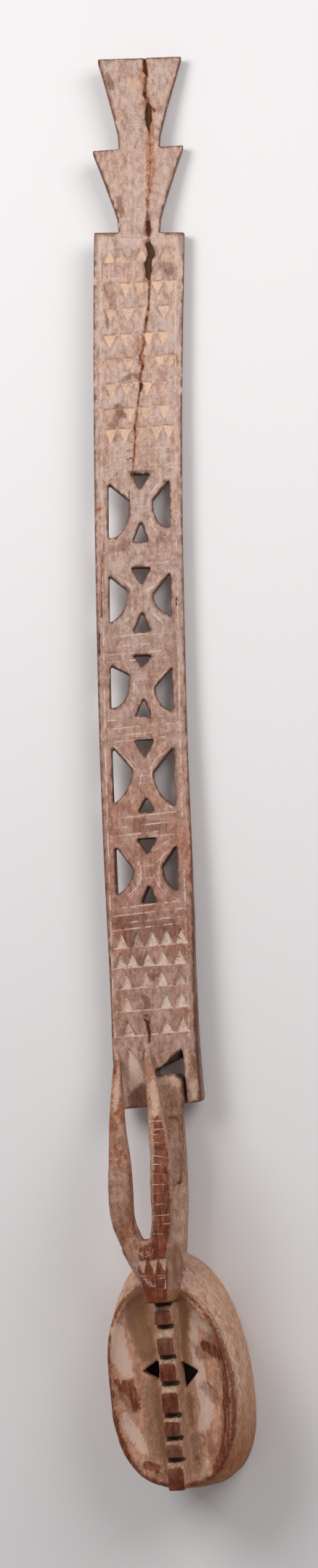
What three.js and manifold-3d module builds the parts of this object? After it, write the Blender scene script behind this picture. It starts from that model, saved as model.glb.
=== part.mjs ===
// A tall plank mask, carved from one log, lying face up on the rear rim of its face.
// Millimetres, +Z up, +Y towards the finials, the origin below the middle of its box.
//
// The mask is laid out straight first, in three carver's measures: u across, s along from
// the chin to the finials, and w up from the floor. bendAndTwist() then gives the whole
// carving the lean and the wind that the old board has.

import * as THREE from 'three';
import { mergeVertices } from 'three/addons/utils/BufferGeometryUtils.js';
import Module from 'manifold-3d';

const wasm = await Module();
wasm.setup();

const DEG = Math.PI / 180;
const COLOUR = 0xa98b7b;
const ROUGHNESS = 0.85;

// The centre line of the carving: [s, sideways place], a lean to the left that fades out.
const CENTRE_LINE = [
  [0, 54], [200, 37.5], [400, 17.5], [560, 0], [760, -10.5], [1040, -21.5], [1400, -28], [1970, -31],
];
const TWIST = 14 * DEG;
const TWIST_START = 480;
const TWIST_LENGTH = 650;

// The plank, between the horns' tips and the finials.
const PLANK_MIDDLE = 34;
const PLANK_DEPTH = 30;
const PLANK_TOP_DEPTH = 16;
const PLANK_THINNING = 700;
const PLANK_FOOT = 529;
const PLANK_SHOULDER = 1722;
const PLANK_FRONT = PLANK_MIDDLE + PLANK_DEPTH / 2;
const PLANK_BACK = PLANK_MIDDLE - PLANK_DEPTH / 2;
const LEFT_EDGE = [
  [PLANK_FOOT, 59.5], [660, 57], [850, 59.3], [1140, 61.5], [1600, 63.2], [PLANK_SHOULDER, 62],
];
const RIGHT_EDGE = [
  [PLANK_FOOT, 59], [660, 57.3], [850, 59], [1140, 58], [1440, 57.7], [PLANK_SHOULDER, 62.5],
];
const EDGE_STEP = 38;

// Two trapezoids stand on the plank's shoulders, each on a narrow neck.
const FINIALS = [
  { from: 1725, to: 1841, neck: 28.5, shoulder: 63, lean: 1.5, tilt: 4 },
  { from: 1842, to: 1969, neck: 28.2, shoulder: 58.4, lean: -0.6, tilt: 1.7 },
];
const FINIAL_OVERLAP = 6;
const FINIAL_STEPS = 6;
const FINIAL_NECK_SHARE = 0.1;
const FINIAL_BOW = 1.1;
const TOP_LOW_CORNER = 59;

// Five pierced panels, each with four openings around an X: a triangle from top to apex, one
// from heel to peak, and two side openings, each with a corner at its head and foot, a waist
// at [u, s], and a belly from 0, cut straight, to 1, full.
const OPENING_EDGE = { left: -43.5, right: 39.5 };
const SLOT_HALF = 13.5;
const HEEL_HALF = 11;
const PANELS = [
  {
    slot: { top: 1385, apex: 1363.5 },
    heel: { peak: 1319.5, foot: 1291 },
    left: { head: 1372, waist: [-15.5, 1348], foot: 1296, belly: 1 },
    right: { head: 1376, waist: [17, 1349], foot: 1310, belly: 0.95 },
  },
  {
    slot: { top: 1255.5, apex: 1232.5 },
    heel: { peak: 1195, foot: 1168 },
    left: { head: 1245, waist: [-19, 1224], foot: 1180, belly: 0.7 },
    right: { head: 1249, waist: [16.5, 1219], foot: 1188, belly: 0.65 },
  },
  {
    slot: { top: 1135, apex: 1119.5 },
    heel: { peak: 1077, foot: 1051.5 },
    left: { head: 1122, waist: [-18.5, 1109], foot: 1063.5, belly: 0.95 },
    right: { head: 1118, waist: [16.5, 1092], foot: 1058, belly: 0.8 },
  },
  {
    slot: { top: 1020, apex: 996.5 },
    heel: { peak: 942, foot: 921.5 },
    left: { head: 1011, waist: [-18, 980], foot: 934, belly: 0.6 },
    right: { head: 1009, waist: [11.5, 975], foot: 927, belly: 0.6 },
  },
  {
    slot: { top: 886, apex: 865 },
    heel: { peak: 823.5, foot: 799 },
    left: { head: 878, waist: [-20.5, 845], foot: 811.5, belly: 0.6 },
    right: { head: 876, waist: [19.5, 847], foot: 813.5, belly: 0.7 },
  },
];

// Chip-carved triangles in rows, cut a little way into the plank's front. The upper zone's
// rows point down, but for the first one, and climb to the right. The lower zone's point up.
const CHIP = { half: 8.6, height: 19, depth: 1.9 };
const CHIP_TILT = 4 * DEG;
const UPPER_CHIPS = [
  { s: 1682, up: true, across: [-41.5, -25.5, 2.5, 36.5] },
  { s: 1652, across: [-41, -19.5, 0.5, 24.5, 41.5] },
  { s: 1617, across: [-40, -16, 33] },
  { s: 1580.5, across: [-41, -18.5, 13, 32.5] },
  { s: 1547, across: [-38.5, -16, 12, 30] },
  { s: 1512, across: [-39, -18, 9, 29] },
  { s: 1477, across: [-41, -14, 8, 33] },
  { s: 1449, across: [-40, -20.5, 3, 22.5, 39.5] },
];
const LOWER_CHIPS = [
  { s: 741.5, across: [-39, -17, 3.5, 22.5, 40] },
  { s: 715, across: [-40, -25, 16.5, 39] },
  { s: 687, across: [-33.5, 15, 39] },
  { s: 657, across: [-34, 19, 40] },
  { s: 624, across: [-33, 19, 41] },
];

// Scored lines: bands across the plank between the panels, and one line up each side.
const SCORE = { width: 2.4, depth: 1.2 };
const SCORE_BANDS = [
  { from: 1419, pitch: 11.5, count: 3 },
  { from: 1283, pitch: 10.8, count: 3 },
  { from: 1163, pitch: 11.2, count: 4 },
  { from: 1050, pitch: 10, count: 3 },
  { from: 917, pitch: 11.4, count: 3 },
  { from: 797, pitch: 10, count: 4 },
];
const SCORE_SIDES = { left: -53, right: 49, low: 620, high: 1712 };

// An eroded crack runs down the front from the top edge to the first panel: [s, u, width].
const CRACK_LINE = [
  [1384, -10, 4.5], [1450, -7.5, 4], [1500, 0, 3.5], [1519, 3, 6], [1532, 2.5, 4.5], [1550, 2, 10.5],
  [1572, 3.5, 6], [1597, 10, 8.5], [1619, 13.5, 3.5], [1640, 12.5, 4.5], [1668, 12, 8], [1692, 14, 12],
  [1714, 13, 4], [1732, 12.5, 8], [1776, 15.5, 6.5], [1860, 15, 7.5], [1890, 12.5, 11.5], [1917, 8, 4],
  [1940, 11.5, 8.5], [1975, 6.5, 4.5],
];
const CRACK_DEPTH = 6;
const CRACK_STEP = 11;
const LOWER_CRACK = [[-8.5, 612], [-5.5, 612], [-3.5, 640], [-6, 648], [-13, 645]];
const LOWER_CRACK_DEPTH = 5;
const WORN_PATCH = [[-12.5, 658], [-1.5, 657], [-4, 671], [-9, 677]];
const WORN_PATCH_DEPTH = 1.6;

// The plank's foot: a pierced triangle above the post, with a slit beside it, and a recess.
const FOOT_OPENING = [
  [-0.5, 576.5], [0.6, 568], [14, 571.5], [28, 570], [36, 562], [36.6, 524], [40, 524], [39.6, 560],
  [38.4, 608.5],
];
const FOOT_OPENING_PEAK_BEHIND = [34, 590];
const FOOT_RECESS = [[-39.8, 547.5], [-14.6, 565], [-21, 589], [-35.8, 609.5]];
const FOOT_RECESS_DEPTH = 3;

// The face: a deep oval shell, hollow behind, its front hollowed into a shallow dish. Its
// crown leans to the left, and the back of its chin a little to the right.
const FACE_MIDDLE = 172;
const FACE_SIDES = 56;
const CROWN_LEAN = 8;
const FACE_SHELL = [
  { w: 0, half: 80, down: 128, up: 161, lean: 8, square: 2.9 },
  { w: 26, half: 84, down: 134, up: 166, lean: 8, square: 2.9 },
  { w: 74, half: 84, down: 134, up: 166, lean: 8, square: 2.9 },
  { w: 106, half: 82.5, down: 131, up: 153, lean: 4, square: 2.7, bow: 4 },
  { w: 130, half: 81.5, down: 125, up: 133, lean: -1, square: 2.5, bow: 8 },
];
const RIM = FACE_SHELL[FACE_SHELL.length - 1];
const RIM_LIP = 5;
const DISH_CURVE = [[0.1, 18.6], [0.38, 17.8], [0.62, 15.6], [0.82, 11.4], [0.94, 5.8], [1, 0]];
const HOLLOW = { half: 68.5, down: 115, up: 148, lean: 7, square: 2.8 };
const HOLLOW_CURVE = [[-20, 1], [44, 1], [66, 0.94], [81, 0.8], [91, 0.55], [95, 0.15]];
const CROWN_SQUARE = { left: 2.35, right: 2 };
const EYES = [
  [[-42, 193], [-19, 180], [-18, 207.5]],
  [[11, 204], [13.5, 168.5], [34.5, 190]],
];

// The toothed ridge down the middle of the face: [upper end, lower end] of each block.
const RIDGE_FRONT = 142;
const RIDGE_ROOT = 104;
const RIDGE_HALF = 10.6;
const RIDGE_ROOT_HALF = 15;
const RIDGE_BLOCKS = [[268, 254], [233, 215.5], [201, 182], [164, 142], [128.5, 113], [99, 86], [70, 45]];
const RIDGE_NOTCH = 15;
const RIDGE_CROWN = 283;
const RIDGE_OVERLAP = 12;

// The block from which the horns rise: stations along s, its middle, half width and back.
const HORN_BLOCK = [
  { s: RIDGE_CROWN, middle: 1, half: 17.5, back: 96 },
  { s: 312, middle: -1.2, half: 21.8, back: 84 },
  { s: 334, middle: -6.5, half: 28, back: 78 },
  { s: 351, middle: -10, half: 32.5, back: 98 },
  { s: 362, middle: -9.5, half: 30.5, back: 112 },
];
const HORN_BLOCK_FRONT = 158;
const HORN_BLOCK_BEVEL = 5;
const BLOCK_CHIPS = { s: 329, across: [-13.5, 0.5, 14], half: 4.4, height: 19, depth: 2 };

// The horns: [s, middle, front, half width, half depth] along each one, base to tip.
const LEFT_HORN = [
  [338, -22, 155, 13, 19], [364, -31.5, 158, 13.4, 17], [389, -37.8, 160, 14.3, 14.5],
  [428, -36.9, 160, 15.5, 13], [465, -35.9, 151, 13.8, 12], [504, -39.5, 130, 10.8, 10.5],
  [547, -44.2, 97, 8.4, 8], [580, -48.5, 70, 5.6, 6], [607, -52, 50, 3, 4],
];
const RIGHT_HORN = [
  [338, 5, 155, 13, 18], [364, 9, 158, 13.5, 16], [389, 15, 160, 13.4, 13.5],
  [428, 17.9, 160, 14, 12], [465, 19.2, 151, 13.2, 11.5], [504, 13.8, 130, 11.2, 10.5],
  [547, 5, 97, 8.8, 8], [585, -5.6, 67, 6, 6], [616, -10.4, 49, 3, 4],
];
const HORN_STEPS = 18;
const HORN_BEVEL = 0.42;

// The post that joins the crown of the face to the plank's foot.
const POST = [
  { s: 318, middle: 0, half: 15, back: 24, front: 92 },
  { s: 345, middle: 0, half: 17, back: 16, front: 78 },
  { s: 366, middle: 0.5, half: 19, back: 13, front: 62 },
  { s: 402, middle: 2.5, half: 22.5, back: 12, front: 54 },
  { s: 456, middle: 5, half: 24, back: 12, front: 52 },
  { s: 520, middle: 10, half: 22, back: 15, front: 51.5 },
  { s: 562, middle: 12.5, half: 21.5, back: 18.5, front: 51 },
  { s: 573, middle: 12.5, half: 18, back: 22, front: 48 },
];
const POST_BACK_SHARE = 0.8;
const POST_BEVEL = 4;
const POST_GROOVE = [[8, 416], [15, 414], [21, 428], [24, 454], [27, 505], [24, 513], [12, 513], [6, 455]];
const POST_GROOVE_DEPTH = 4;

// Value at s of a table of [s, value] pairs, eased through them by a cubic curve.
function through(table, s) {
  const last = table.length - 1;
  let k = 0;
  while (k < last - 1 && s > table[k + 1][0]) k += 1;
  const slope = (i) => {
    const [a, b] = [Math.max(i - 1, 0), Math.min(i + 1, last)];
    return (table[b][1] - table[a][1]) / (table[b][0] - table[a][0]);
  };
  const span = table[k + 1][0] - table[k][0];
  const t = (s - table[k][0]) / span;
  const [t2, t3] = [t * t, t * t * t];
  return (2 * t3 - 3 * t2 + 1) * table[k][1] + (t3 - 2 * t2 + t) * span * slope(k)
    + (3 * t2 - 2 * t3) * table[k + 1][1] + (t3 - t2) * span * slope(k + 1);
}

// Value at s of a table of [s, value] pairs, joined by straight lines.
function between(table, s) {
  let k = 0;
  while (k < table.length - 2 && s > table[k + 1][0]) k += 1;
  const t = (s - table[k][0]) / (table[k + 1][0] - table[k][0]);
  return table[k][1] + t * (table[k + 1][1] - table[k][1]);
}

const ease = (t) => THREE.MathUtils.smoothstep(t, 0, 1);

// The plank's depth at s, as a share of its depth at the foot.
function depthShare(s) {
  const thinned = PLANK_TOP_DEPTH / PLANK_DEPTH;
  return 1 + (thinned - 1) * ease((s - PLANK_FOOT) / PLANK_THINNING);
}

// Height of the plank's middle: it falls until the low corner of its top lies on the floor.
function middleHeight(s) {
  const top = FINIALS[1].to;
  const topHeight = TOP_LOW_CORNER * Math.sin(TWIST) + (PLANK_TOP_DEPTH / 2) * Math.cos(TWIST);
  const fall = Math.max(0, (s - PLANK_FOOT) / (top - PLANK_FOOT));
  return PLANK_MIDDLE + (topHeight - PLANK_MIDDLE) * fall;
}

// A closed geometry as a solid that can be joined and cut.
function solidFrom(geometry) {
  geometry.deleteAttribute('normal');
  geometry.deleteAttribute('uv');
  const merged = mergeVertices(geometry, 1e-4);
  return new wasm.Manifold(new wasm.Mesh({
    numProp: 3,
    vertProperties: new Float32Array(merged.attributes.position.array),
    triVerts: new Uint32Array(merged.index.array),
  }));
}

// A solid with one outline in the u-s plane, from height low to height high.
function prism(outline, low, high) {
  const shape = new THREE.Shape(outline.map(([u, s]) => new THREE.Vector2(u, s)));
  const geometry = new THREE.ExtrudeGeometry(shape, { depth: high - low, bevelEnabled: false });
  return solidFrom(geometry.translate(0, 0, low));
}

// A closed solid through rings of [u, s, w] points, each ring with the same count.
function loft(rings) {
  const count = rings[0].length;
  const positions = rings.flat(2);
  const faces = [];
  for (let r = 0; r < rings.length - 1; r += 1) {
    for (let i = 0; i < count; i += 1) {
      const next = (i + 1) % count;
      const [a, b, c, d] = [r * count + i, r * count + next, (r + 1) * count + next, (r + 1) * count + i];
      faces.push(a, b, c, a, c, d);
    }
  }
  const cap = (ring, start, facing) => {
    const middle = positions.length / 3;
    for (const axis of [0, 1, 2]) {
      positions.push(ring.reduce((sum, point) => sum + point[axis], 0) / count);
    }
    for (let i = 0; i < count; i += 1) {
      const [a, b] = [start + i, start + ((i + 1) % count)];
      faces.push(...(facing > 0 ? [a, b, middle] : [b, a, middle]));
    }
  };
  cap(rings[0], 0, -1);
  cap(rings[rings.length - 1], (rings.length - 1) * count, 1);
  const geometry = new THREE.BufferGeometry();
  geometry.setAttribute('position', new THREE.BufferAttribute(new Float32Array(positions), 3));
  geometry.setIndex(faces);
  return solidFrom(geometry);
}

// One ring of the face's oval at height w, squarer at the chin than at the crown.
function faceRing({ half, down, up, w, lean, square, bow = 0 }) {
  const ring = [];
  for (let i = 0; i < FACE_SIDES; i += 1) {
    const angle = (i / FACE_SIDES) * 2 * Math.PI;
    const [across, along] = [Math.cos(angle), Math.sin(angle)];
    const crown = across < 0 ? CROWN_SQUARE.left : CROWN_SQUARE.right;
    const power = 2 / (along < 0 ? square : crown);
    const share = Math.abs(along) ** power * Math.sign(along);
    const reach = (along < 0 ? down : up) * share;
    const side = half * Math.abs(across) ** power * Math.sign(across);
    const shift = share * (along < 0 ? lean : CROWN_LEAN);
    ring.push([side - shift, FACE_MIDDLE + reach, w - bow * (reach / RIM.up) ** 2]);
  }
  return ring;
}

const scaled = (oval, share) => (
  { ...oval, half: oval.half * share, down: oval.down * share, up: oval.up * share });

// The oval shell with its dish in front, its hollow behind and the two eye holes.
function faceShell() {
  const lip = { ...RIM, half: RIM.half - RIM_LIP, down: RIM.down - RIM_LIP, up: RIM.up - RIM_LIP };
  const dish = DISH_CURVE.map(([share, depth]) => faceRing({ ...scaled(lip, share), w: RIM.w - depth }));
  dish.push(faceRing({ ...lip, w: RIM.w + 40, bow: 0 }));
  const hollow = HOLLOW_CURVE.map(([w, share]) => faceRing({ ...scaled(HOLLOW, share), w }));
  return loft(FACE_SHELL.map(faceRing)).subtract(loft(dish)).subtract(loft(hollow));
}

// The ridge's side profile, with a notch below each block, as one tapered solid.
function toothedRidge() {
  const end = RIDGE_CROWN + RIDGE_OVERLAP;
  const profile = [[end, RIDGE_ROOT], [end, RIDGE_FRONT], [RIDGE_CROWN, RIDGE_FRONT]];
  let wall = RIDGE_CROWN;
  for (const [upper, lower] of RIDGE_BLOCKS) {
    profile.push([wall - 1, RIDGE_FRONT - RIDGE_NOTCH], [upper, RIDGE_FRONT], [lower, RIDGE_FRONT]);
    wall = lower;
  }
  const chin = RIDGE_BLOCKS[RIDGE_BLOCKS.length - 1][1];
  profile.push([chin + 1, RIDGE_ROOT + 10], [chin + 9, RIDGE_ROOT]);
  const shape = new THREE.Shape(profile.map(([s, w]) => new THREE.Vector2(s, w)));
  const geometry = new THREE.ExtrudeGeometry(shape, { depth: 2, bevelEnabled: false });
  const points = geometry.attributes.position;
  for (let i = 0; i < points.count; i += 1) {
    const [s, w, side] = [points.getX(i), points.getY(i), points.getZ(i) - 1];
    const rise = (w - RIDGE_ROOT) / (RIDGE_FRONT - RIDGE_ROOT);
    points.setXYZ(i, side * THREE.MathUtils.lerp(RIDGE_ROOT_HALF, RIDGE_HALF, rise), s, w);
  }
  return solidFrom(geometry);
}

// The eight-sided section of a bevelled bar, centred on middle, at s.
function barRing({ s, middle, half, back, front, bevel, backShare = 1 }) {
  const behind = half * backShare;
  return [
    [middle - behind + bevel, s, back], [middle - behind, s, back + bevel],
    [middle - half, s, front - bevel], [middle - half + bevel, s, front],
    [middle + half - bevel, s, front], [middle + half, s, front - bevel],
    [middle + behind, s, back + bevel], [middle + behind - bevel, s, back],
  ];
}

// The block over the forehead, widening towards the horns, with three small chips.
function hornBlock() {
  const block = loft(HORN_BLOCK.map((station) => (
    barRing({ ...station, front: HORN_BLOCK_FRONT, bevel: HORN_BLOCK_BEVEL }))));
  return BLOCK_CHIPS.across.reduce((left, u) => {
    const { s, half, height, depth } = BLOCK_CHIPS;
    const chip = [[u - half, s + height / 2], [u, s - height / 2], [u + half, s + height / 2]];
    return left.subtract(prism(chip, HORN_BLOCK_FRONT - depth, HORN_BLOCK_FRONT + 5));
  }, block);
}

// A horn: an eight-sided bevelled bar that follows its stations and stays square to them.
function horn(stations) {
  const column = (k) => stations.map((station) => [station[0], station[k]]);
  const [first, last] = [stations[0][0], stations[stations.length - 1][0]];
  const centreAt = (s) => new THREE.Vector3(
    through(column(1), s), s, through(column(2), s) - through(column(4), s));
  const rings = [];
  for (let i = 0; i <= HORN_STEPS; i += 1) {
    const s = THREE.MathUtils.lerp(first, last, i / HORN_STEPS);
    const centre = centreAt(s);
    const along = centreAt(s + 0.5).sub(centreAt(s - 0.5)).normalize();
    const forward = new THREE.Vector3(1, 0, 0).cross(along).normalize();
    const [half, deep] = [through(column(3), s), through(column(4), s)];
    const bevel = HORN_BEVEL * Math.min(half, deep);
    const ring = barRing({ s: 0, middle: 0, half, back: -deep, front: deep, bevel });
    rings.push(ring.map(([u, , w]) => (
      centre.clone().add(new THREE.Vector3(u, 0, 0)).addScaledVector(forward, w).toArray())));
  }
  return loft(rings);
}

// The post, with the shallow groove scooped along its front.
function post() {
  const bar = loft(POST.map((station) => (
    barRing({ ...station, bevel: POST_BEVEL, backShare: POST_BACK_SHARE }))));
  return bar.subtract(prism(POST_GROOVE, 52 - POST_GROOVE_DEPTH, 60));
}

// One finial's outline from neck to neck, widening upwards in a slight curve.
function finial({ from, to, neck, shoulder, lean, tilt }) {
  const side = (sign) => {
    const points = [[sign * neck, from - FINIAL_OVERLAP]];
    for (let i = 0; i <= FINIAL_STEPS; i += 1) {
      const t = i / FINIAL_STEPS;
      const flare = Math.max(0, (t - FINIAL_NECK_SHARE) / (1 - FINIAL_NECK_SHARE));
      const half = neck + (shoulder - neck) * flare ** FINIAL_BOW;
      points.push([sign * half - lean * t, THREE.MathUtils.lerp(from, to, t) + sign * tilt * t]);
    }
    return points;
  };
  return prism([...side(1), ...side(-1).reverse()], PLANK_BACK, PLANK_FRONT);
}

// The plank's board with its worn lower corner, up to the shoulders.
function board() {
  const steps = Math.round((PLANK_SHOULDER - PLANK_FOOT) / EDGE_STEP);
  const edge = (table, sign) => Array.from({ length: steps + 1 }, (_, i) => {
    const s = THREE.MathUtils.lerp(PLANK_FOOT, PLANK_SHOULDER, i / steps);
    return [sign * through(table, s), s];
  });
  const right = edge(RIGHT_EDGE, 1);
  const [cornerU, cornerS] = right.shift();
  const worn = [[cornerU - 7, cornerS], [cornerU - 2, cornerS + 2], [cornerU, cornerS + 7]];
  return prism([...worn, ...right, ...edge(LEFT_EDGE, -1).reverse()], PLANK_BACK, PLANK_FRONT);
}

// A cut that goes right through the plank.
const throughCut = (outline) => prism(outline, PLANK_BACK - 10, PLANK_FRONT + 10);

// A cut of a true depth into the plank's front, whatever the plank's depth is there.
function frontCut(outline, depth) {
  const s = outline.reduce((sum, point) => sum + point[1], 0) / outline.length;
  return prism(outline, PLANK_FRONT - depth / depthShare(s), PLANK_FRONT + 6);
}

// A side opening: straight from its head to the waist, then bellied to its foot.
function sideOpening(outer, { head, waist, foot, belly }) {
  const shape = new THREE.Shape().moveTo(outer, foot).lineTo(outer, head).lineTo(...waist);
  shape.quadraticCurveTo(waist[0], THREE.MathUtils.lerp(waist[1], foot, belly), outer, foot);
  return shape.getPoints(5).slice(0, -1).map((point) => [point.x, point.y]);
}

// The four openings of one pierced panel.
function panelOpenings({ slot, heel, left, right }) {
  return [
    [[-SLOT_HALF, slot.top], [0, slot.apex], [SLOT_HALF, slot.top]],
    [[-HEEL_HALF, heel.foot], [HEEL_HALF, heel.foot], [0.5, heel.peak]],
    sideOpening(OPENING_EDGE.left, left),
    sideOpening(OPENING_EDGE.right, right),
  ];
}

// The rows of chip-carved triangles of one zone, each row climbing by tilt to the right.
function chipCuts(rows, upwards, tilt) {
  return rows.flatMap(({ s, up = upwards, across }) => across.map((u) => {
    const base = s + u * Math.tan(tilt);
    const point = up ? base + CHIP.height : base - CHIP.height;
    return frontCut([[u - CHIP.half, base], [u + CHIP.half, base], [u, point]], CHIP.depth);
  }));
}

// The long crack as a ribbon that wanders and changes its width.
function crackOutline() {
  const places = CRACK_LINE.map(([s, u]) => [s, u]);
  const widths = CRACK_LINE.map(([s, , width]) => [s, width]);
  const top = CRACK_LINE[CRACK_LINE.length - 1][0];
  const [left, right] = [[], []];
  for (let s = CRACK_LINE[0][0]; s <= top; s += CRACK_STEP) {
    const half = between(widths, s) / 2;
    left.push([through(places, s) - half, s]);
    right.push([through(places, s) + half, s]);
  }
  return [...right, ...left.reverse()];
}

// Scored lines: V grooves across the plank in bands, and one up each side.
function scoreCuts() {
  const half = SCORE.width / 2;
  const { left, right, low, high } = SCORE_SIDES;
  const groove = (length, s) => {
    const shape = new THREE.Shape([
      new THREE.Vector2(-half - 0.4, 1), new THREE.Vector2(0, -SCORE.depth / depthShare(s) - 0.2),
      new THREE.Vector2(half + 0.4, 1),
    ]);
    return new THREE.ExtrudeGeometry(shape, { depth: length, bevelEnabled: false });
  };
  const cuts = [left, right].map((u) => solidFrom(groove(high - low, high)
    .rotateX(Math.PI / 2).translate(u, high, PLANK_FRONT)));
  for (const { from, pitch, count } of SCORE_BANDS) {
    for (let i = 0; i < count; i += 1) {
      const s = from - pitch * i;
      const across = groove(right - left, s).rotateX(Math.PI / 2).rotateZ(Math.PI / 2);
      cuts.push(solidFrom(across.translate(left, 0, 0).rotateZ(CHIP_TILT).translate(0, s, PLANK_FRONT)));
    }
  }
  return cuts;
}

// The pierced triangle at the foot, its upper wall sloping back.
function footOpening() {
  const behind = FOOT_OPENING.map((point, i) => (
    i === FOOT_OPENING.length - 1 ? FOOT_OPENING_PEAK_BEHIND : point));
  const ring = (outline, w) => outline.map(([u, s]) => [u, s, w]);
  return loft([ring(behind, 5), ring(behind, PLANK_BACK), ring(FOOT_OPENING, PLANK_FRONT + 8)]);
}

// The straight carving, cut and joined, before it is bent.
function straightMask() {
  const cutAll = (solid, cuts) => cuts.reduce((left, cut) => left.subtract(cut), solid);
  const plank = FINIALS.reduce((joined, data) => joined.add(finial(data)), board());
  const openings = PANELS.flatMap(panelOpenings).map(throughCut);
  const carved = [
    ...openings, ...scoreCuts(),
    ...chipCuts(UPPER_CHIPS, false, CHIP_TILT), ...chipCuts(LOWER_CHIPS, true, CHIP_TILT / 2),
    frontCut(crackOutline(), CRACK_DEPTH), frontCut(LOWER_CRACK, LOWER_CRACK_DEPTH),
    frontCut(WORN_PATCH, WORN_PATCH_DEPTH), frontCut(FOOT_RECESS, FOOT_RECESS_DEPTH),
  ];
  const upper = cutAll(plank, carved).add(post()).subtract(footOpening());
  const eyes = EYES.map((triangle) => prism(triangle, 60, RIM.w + 20));
  const face = cutAll(faceShell().add(toothedRidge()).add(hornBlock()), eyes);
  return face.add(upper).add(horn(LEFT_HORN)).add(horn(RIGHT_HORN));
}

// Takes a point of the straight carving to its place in the leaning, twisted mask.
function bendAndTwist(u, s, w) {
  const lean = Math.atan(through(CENTRE_LINE, s - 0.5) - through(CENTRE_LINE, s + 0.5));
  const twist = TWIST * ease((s - TWIST_START) / TWIST_LENGTH);
  const depth = (w - PLANK_MIDDLE) * depthShare(s);
  const across = u * Math.cos(twist) + depth * Math.sin(twist);
  const height = depth * Math.cos(twist) - u * Math.sin(twist);
  return [
    through(CENTRE_LINE, s) + across * Math.cos(lean),
    s + across * Math.sin(lean),
    middleHeight(s) + height,
  ];
}

// The finished geometry, bent and moved so that the origin lies below its middle.
function maskGeometry() {
  const { vertProperties, triVerts } = straightMask().getMesh();
  const places = new Float32Array(vertProperties.length);
  for (let i = 0; i < places.length; i += 3) {
    places.set(bendAndTwist(vertProperties[i], vertProperties[i + 1], vertProperties[i + 2]), i);
  }
  const geometry = new THREE.BufferGeometry();
  geometry.setAttribute('position', new THREE.BufferAttribute(places, 3));
  geometry.setIndex(new THREE.BufferAttribute(new Uint32Array(triVerts), 1));
  geometry.computeBoundingBox();
  const { min, max } = geometry.boundingBox;
  geometry.translate(-(min.x + max.x) / 2, -(min.y + max.y) / 2, -min.z);
  geometry.computeVertexNormals();
  return geometry;
}

const wood = new THREE.MeshStandardMaterial({ color: COLOUR, roughness: ROUGHNESS, metalness: 0 });
const mask = new THREE.Mesh(maskGeometry(), wood);
mask.name = 'mask';

const part = new THREE.Group();
part.add(mask);
export default part;
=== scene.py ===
"""Looks of a tall carved plank mask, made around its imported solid.

The fine surface is shaped in the carver's measures, in millimetres: u across, s along from
the chin to the finials, and w up from the floor. There the plank is straight and flat.
Lie.bend() takes the finished surface to the leaning, twisted place that the solid has.
"""

from __future__ import annotations

import logging
import math
from dataclasses import dataclass, field
from enum import Enum

import bmesh
import bpy
import numpy as np
from mathutils import Matrix, Vector
from mathutils.bvhtree import BVHTree
from mathutils.kdtree import KDTree


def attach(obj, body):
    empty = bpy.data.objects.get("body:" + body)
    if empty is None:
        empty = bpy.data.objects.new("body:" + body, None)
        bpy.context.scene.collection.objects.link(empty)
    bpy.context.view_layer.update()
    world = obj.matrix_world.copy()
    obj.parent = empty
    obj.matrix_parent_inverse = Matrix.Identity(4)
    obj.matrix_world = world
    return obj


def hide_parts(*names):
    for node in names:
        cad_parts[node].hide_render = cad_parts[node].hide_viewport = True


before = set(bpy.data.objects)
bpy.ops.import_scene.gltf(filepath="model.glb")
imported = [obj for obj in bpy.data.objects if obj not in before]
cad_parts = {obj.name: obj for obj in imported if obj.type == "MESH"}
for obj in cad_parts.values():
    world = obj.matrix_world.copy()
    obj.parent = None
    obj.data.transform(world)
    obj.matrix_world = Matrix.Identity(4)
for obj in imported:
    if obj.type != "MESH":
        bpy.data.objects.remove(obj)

LOG = logging.getLogger("plank_mask")
NODE = "mask"
BODY = "root"
MM = 0.001
FAR = 20.0
HASH_STEPS = np.array([374761393, 668265263, 2246822519], np.uint32)
HASH_SEED = 3266489917
HASH_MIX = np.uint32(1274126177)
Points = np.ndarray
Triple = tuple[float, float, float]
Colour = Triple
Line = tuple[tuple[float, ...], ...]
Lines = tuple[Line, ...]
Rows = tuple[tuple[float, tuple[float, ...]], ...]


def smoothstep(low: float, high: float, value: Points) -> Points:
    """Eased share from 0 at low to 1 at high."""
    share = np.clip((value - low) / (high - low), 0.0, 1.0)
    return share * share * (3.0 - 2.0 * share)


def between(value: Points, low: float, high: float) -> Points:
    """Which values are above low and below high."""
    return (value > low) & (value < high)


def grain_noise(places: Points, sizes: Triple, seed: int, octaves: int = 1) -> Points:
    """Smooth random values over space.

    Args:
        places: One row of coordinates for each point.
        sizes: Length of one feature along each axis, in the units of places.
        seed: Chooses the pattern.
        octaves: How many layers, each twice as fine as the one before, are added up.

    Returns:
        One value for each place, from -1 to 1.
    """
    scaled = places / np.asarray(sizes)
    total = np.zeros(len(places))
    weight, sum_of_weights = 1.0, 0.0
    for octave in range(octaves):
        cell = np.floor(scaled).astype(np.int64)
        rest = scaled - cell
        rest = rest * rest * (3.0 - 2.0 * rest)
        value = np.zeros(len(places))
        for corner in range(8):
            step = np.array([corner & 1, (corner >> 1) & 1, (corner >> 2) & 1])
            share = np.prod(np.where(step, rest, 1.0 - rest), axis=1)
            value += share * random_at(cell + step, seed + 17 * octave)
        total += weight * (2.0 * value - 1.0)
        sum_of_weights += weight
        weight *= 0.5
        scaled = scaled * 2.0
    return total / sum_of_weights


def random_at(cells: Points, seed: int) -> Points:
    """A fixed random value for each cell of a net.

    Args:
        cells: Three whole numbers for each cell.
        seed: Chooses the values.

    Returns:
        One value for each cell, from 0 to 1.
    """
    key = cells.astype(np.int64).astype(np.uint32) * HASH_STEPS
    mixed = key[:, 0] + key[:, 1] + key[:, 2] + np.uint32(seed * HASH_SEED % 2**32)
    mixed = (mixed ^ (mixed >> np.uint32(13))) * HASH_MIX
    mixed = mixed ^ (mixed >> np.uint32(16))
    return mixed / float(2**32)


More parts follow.
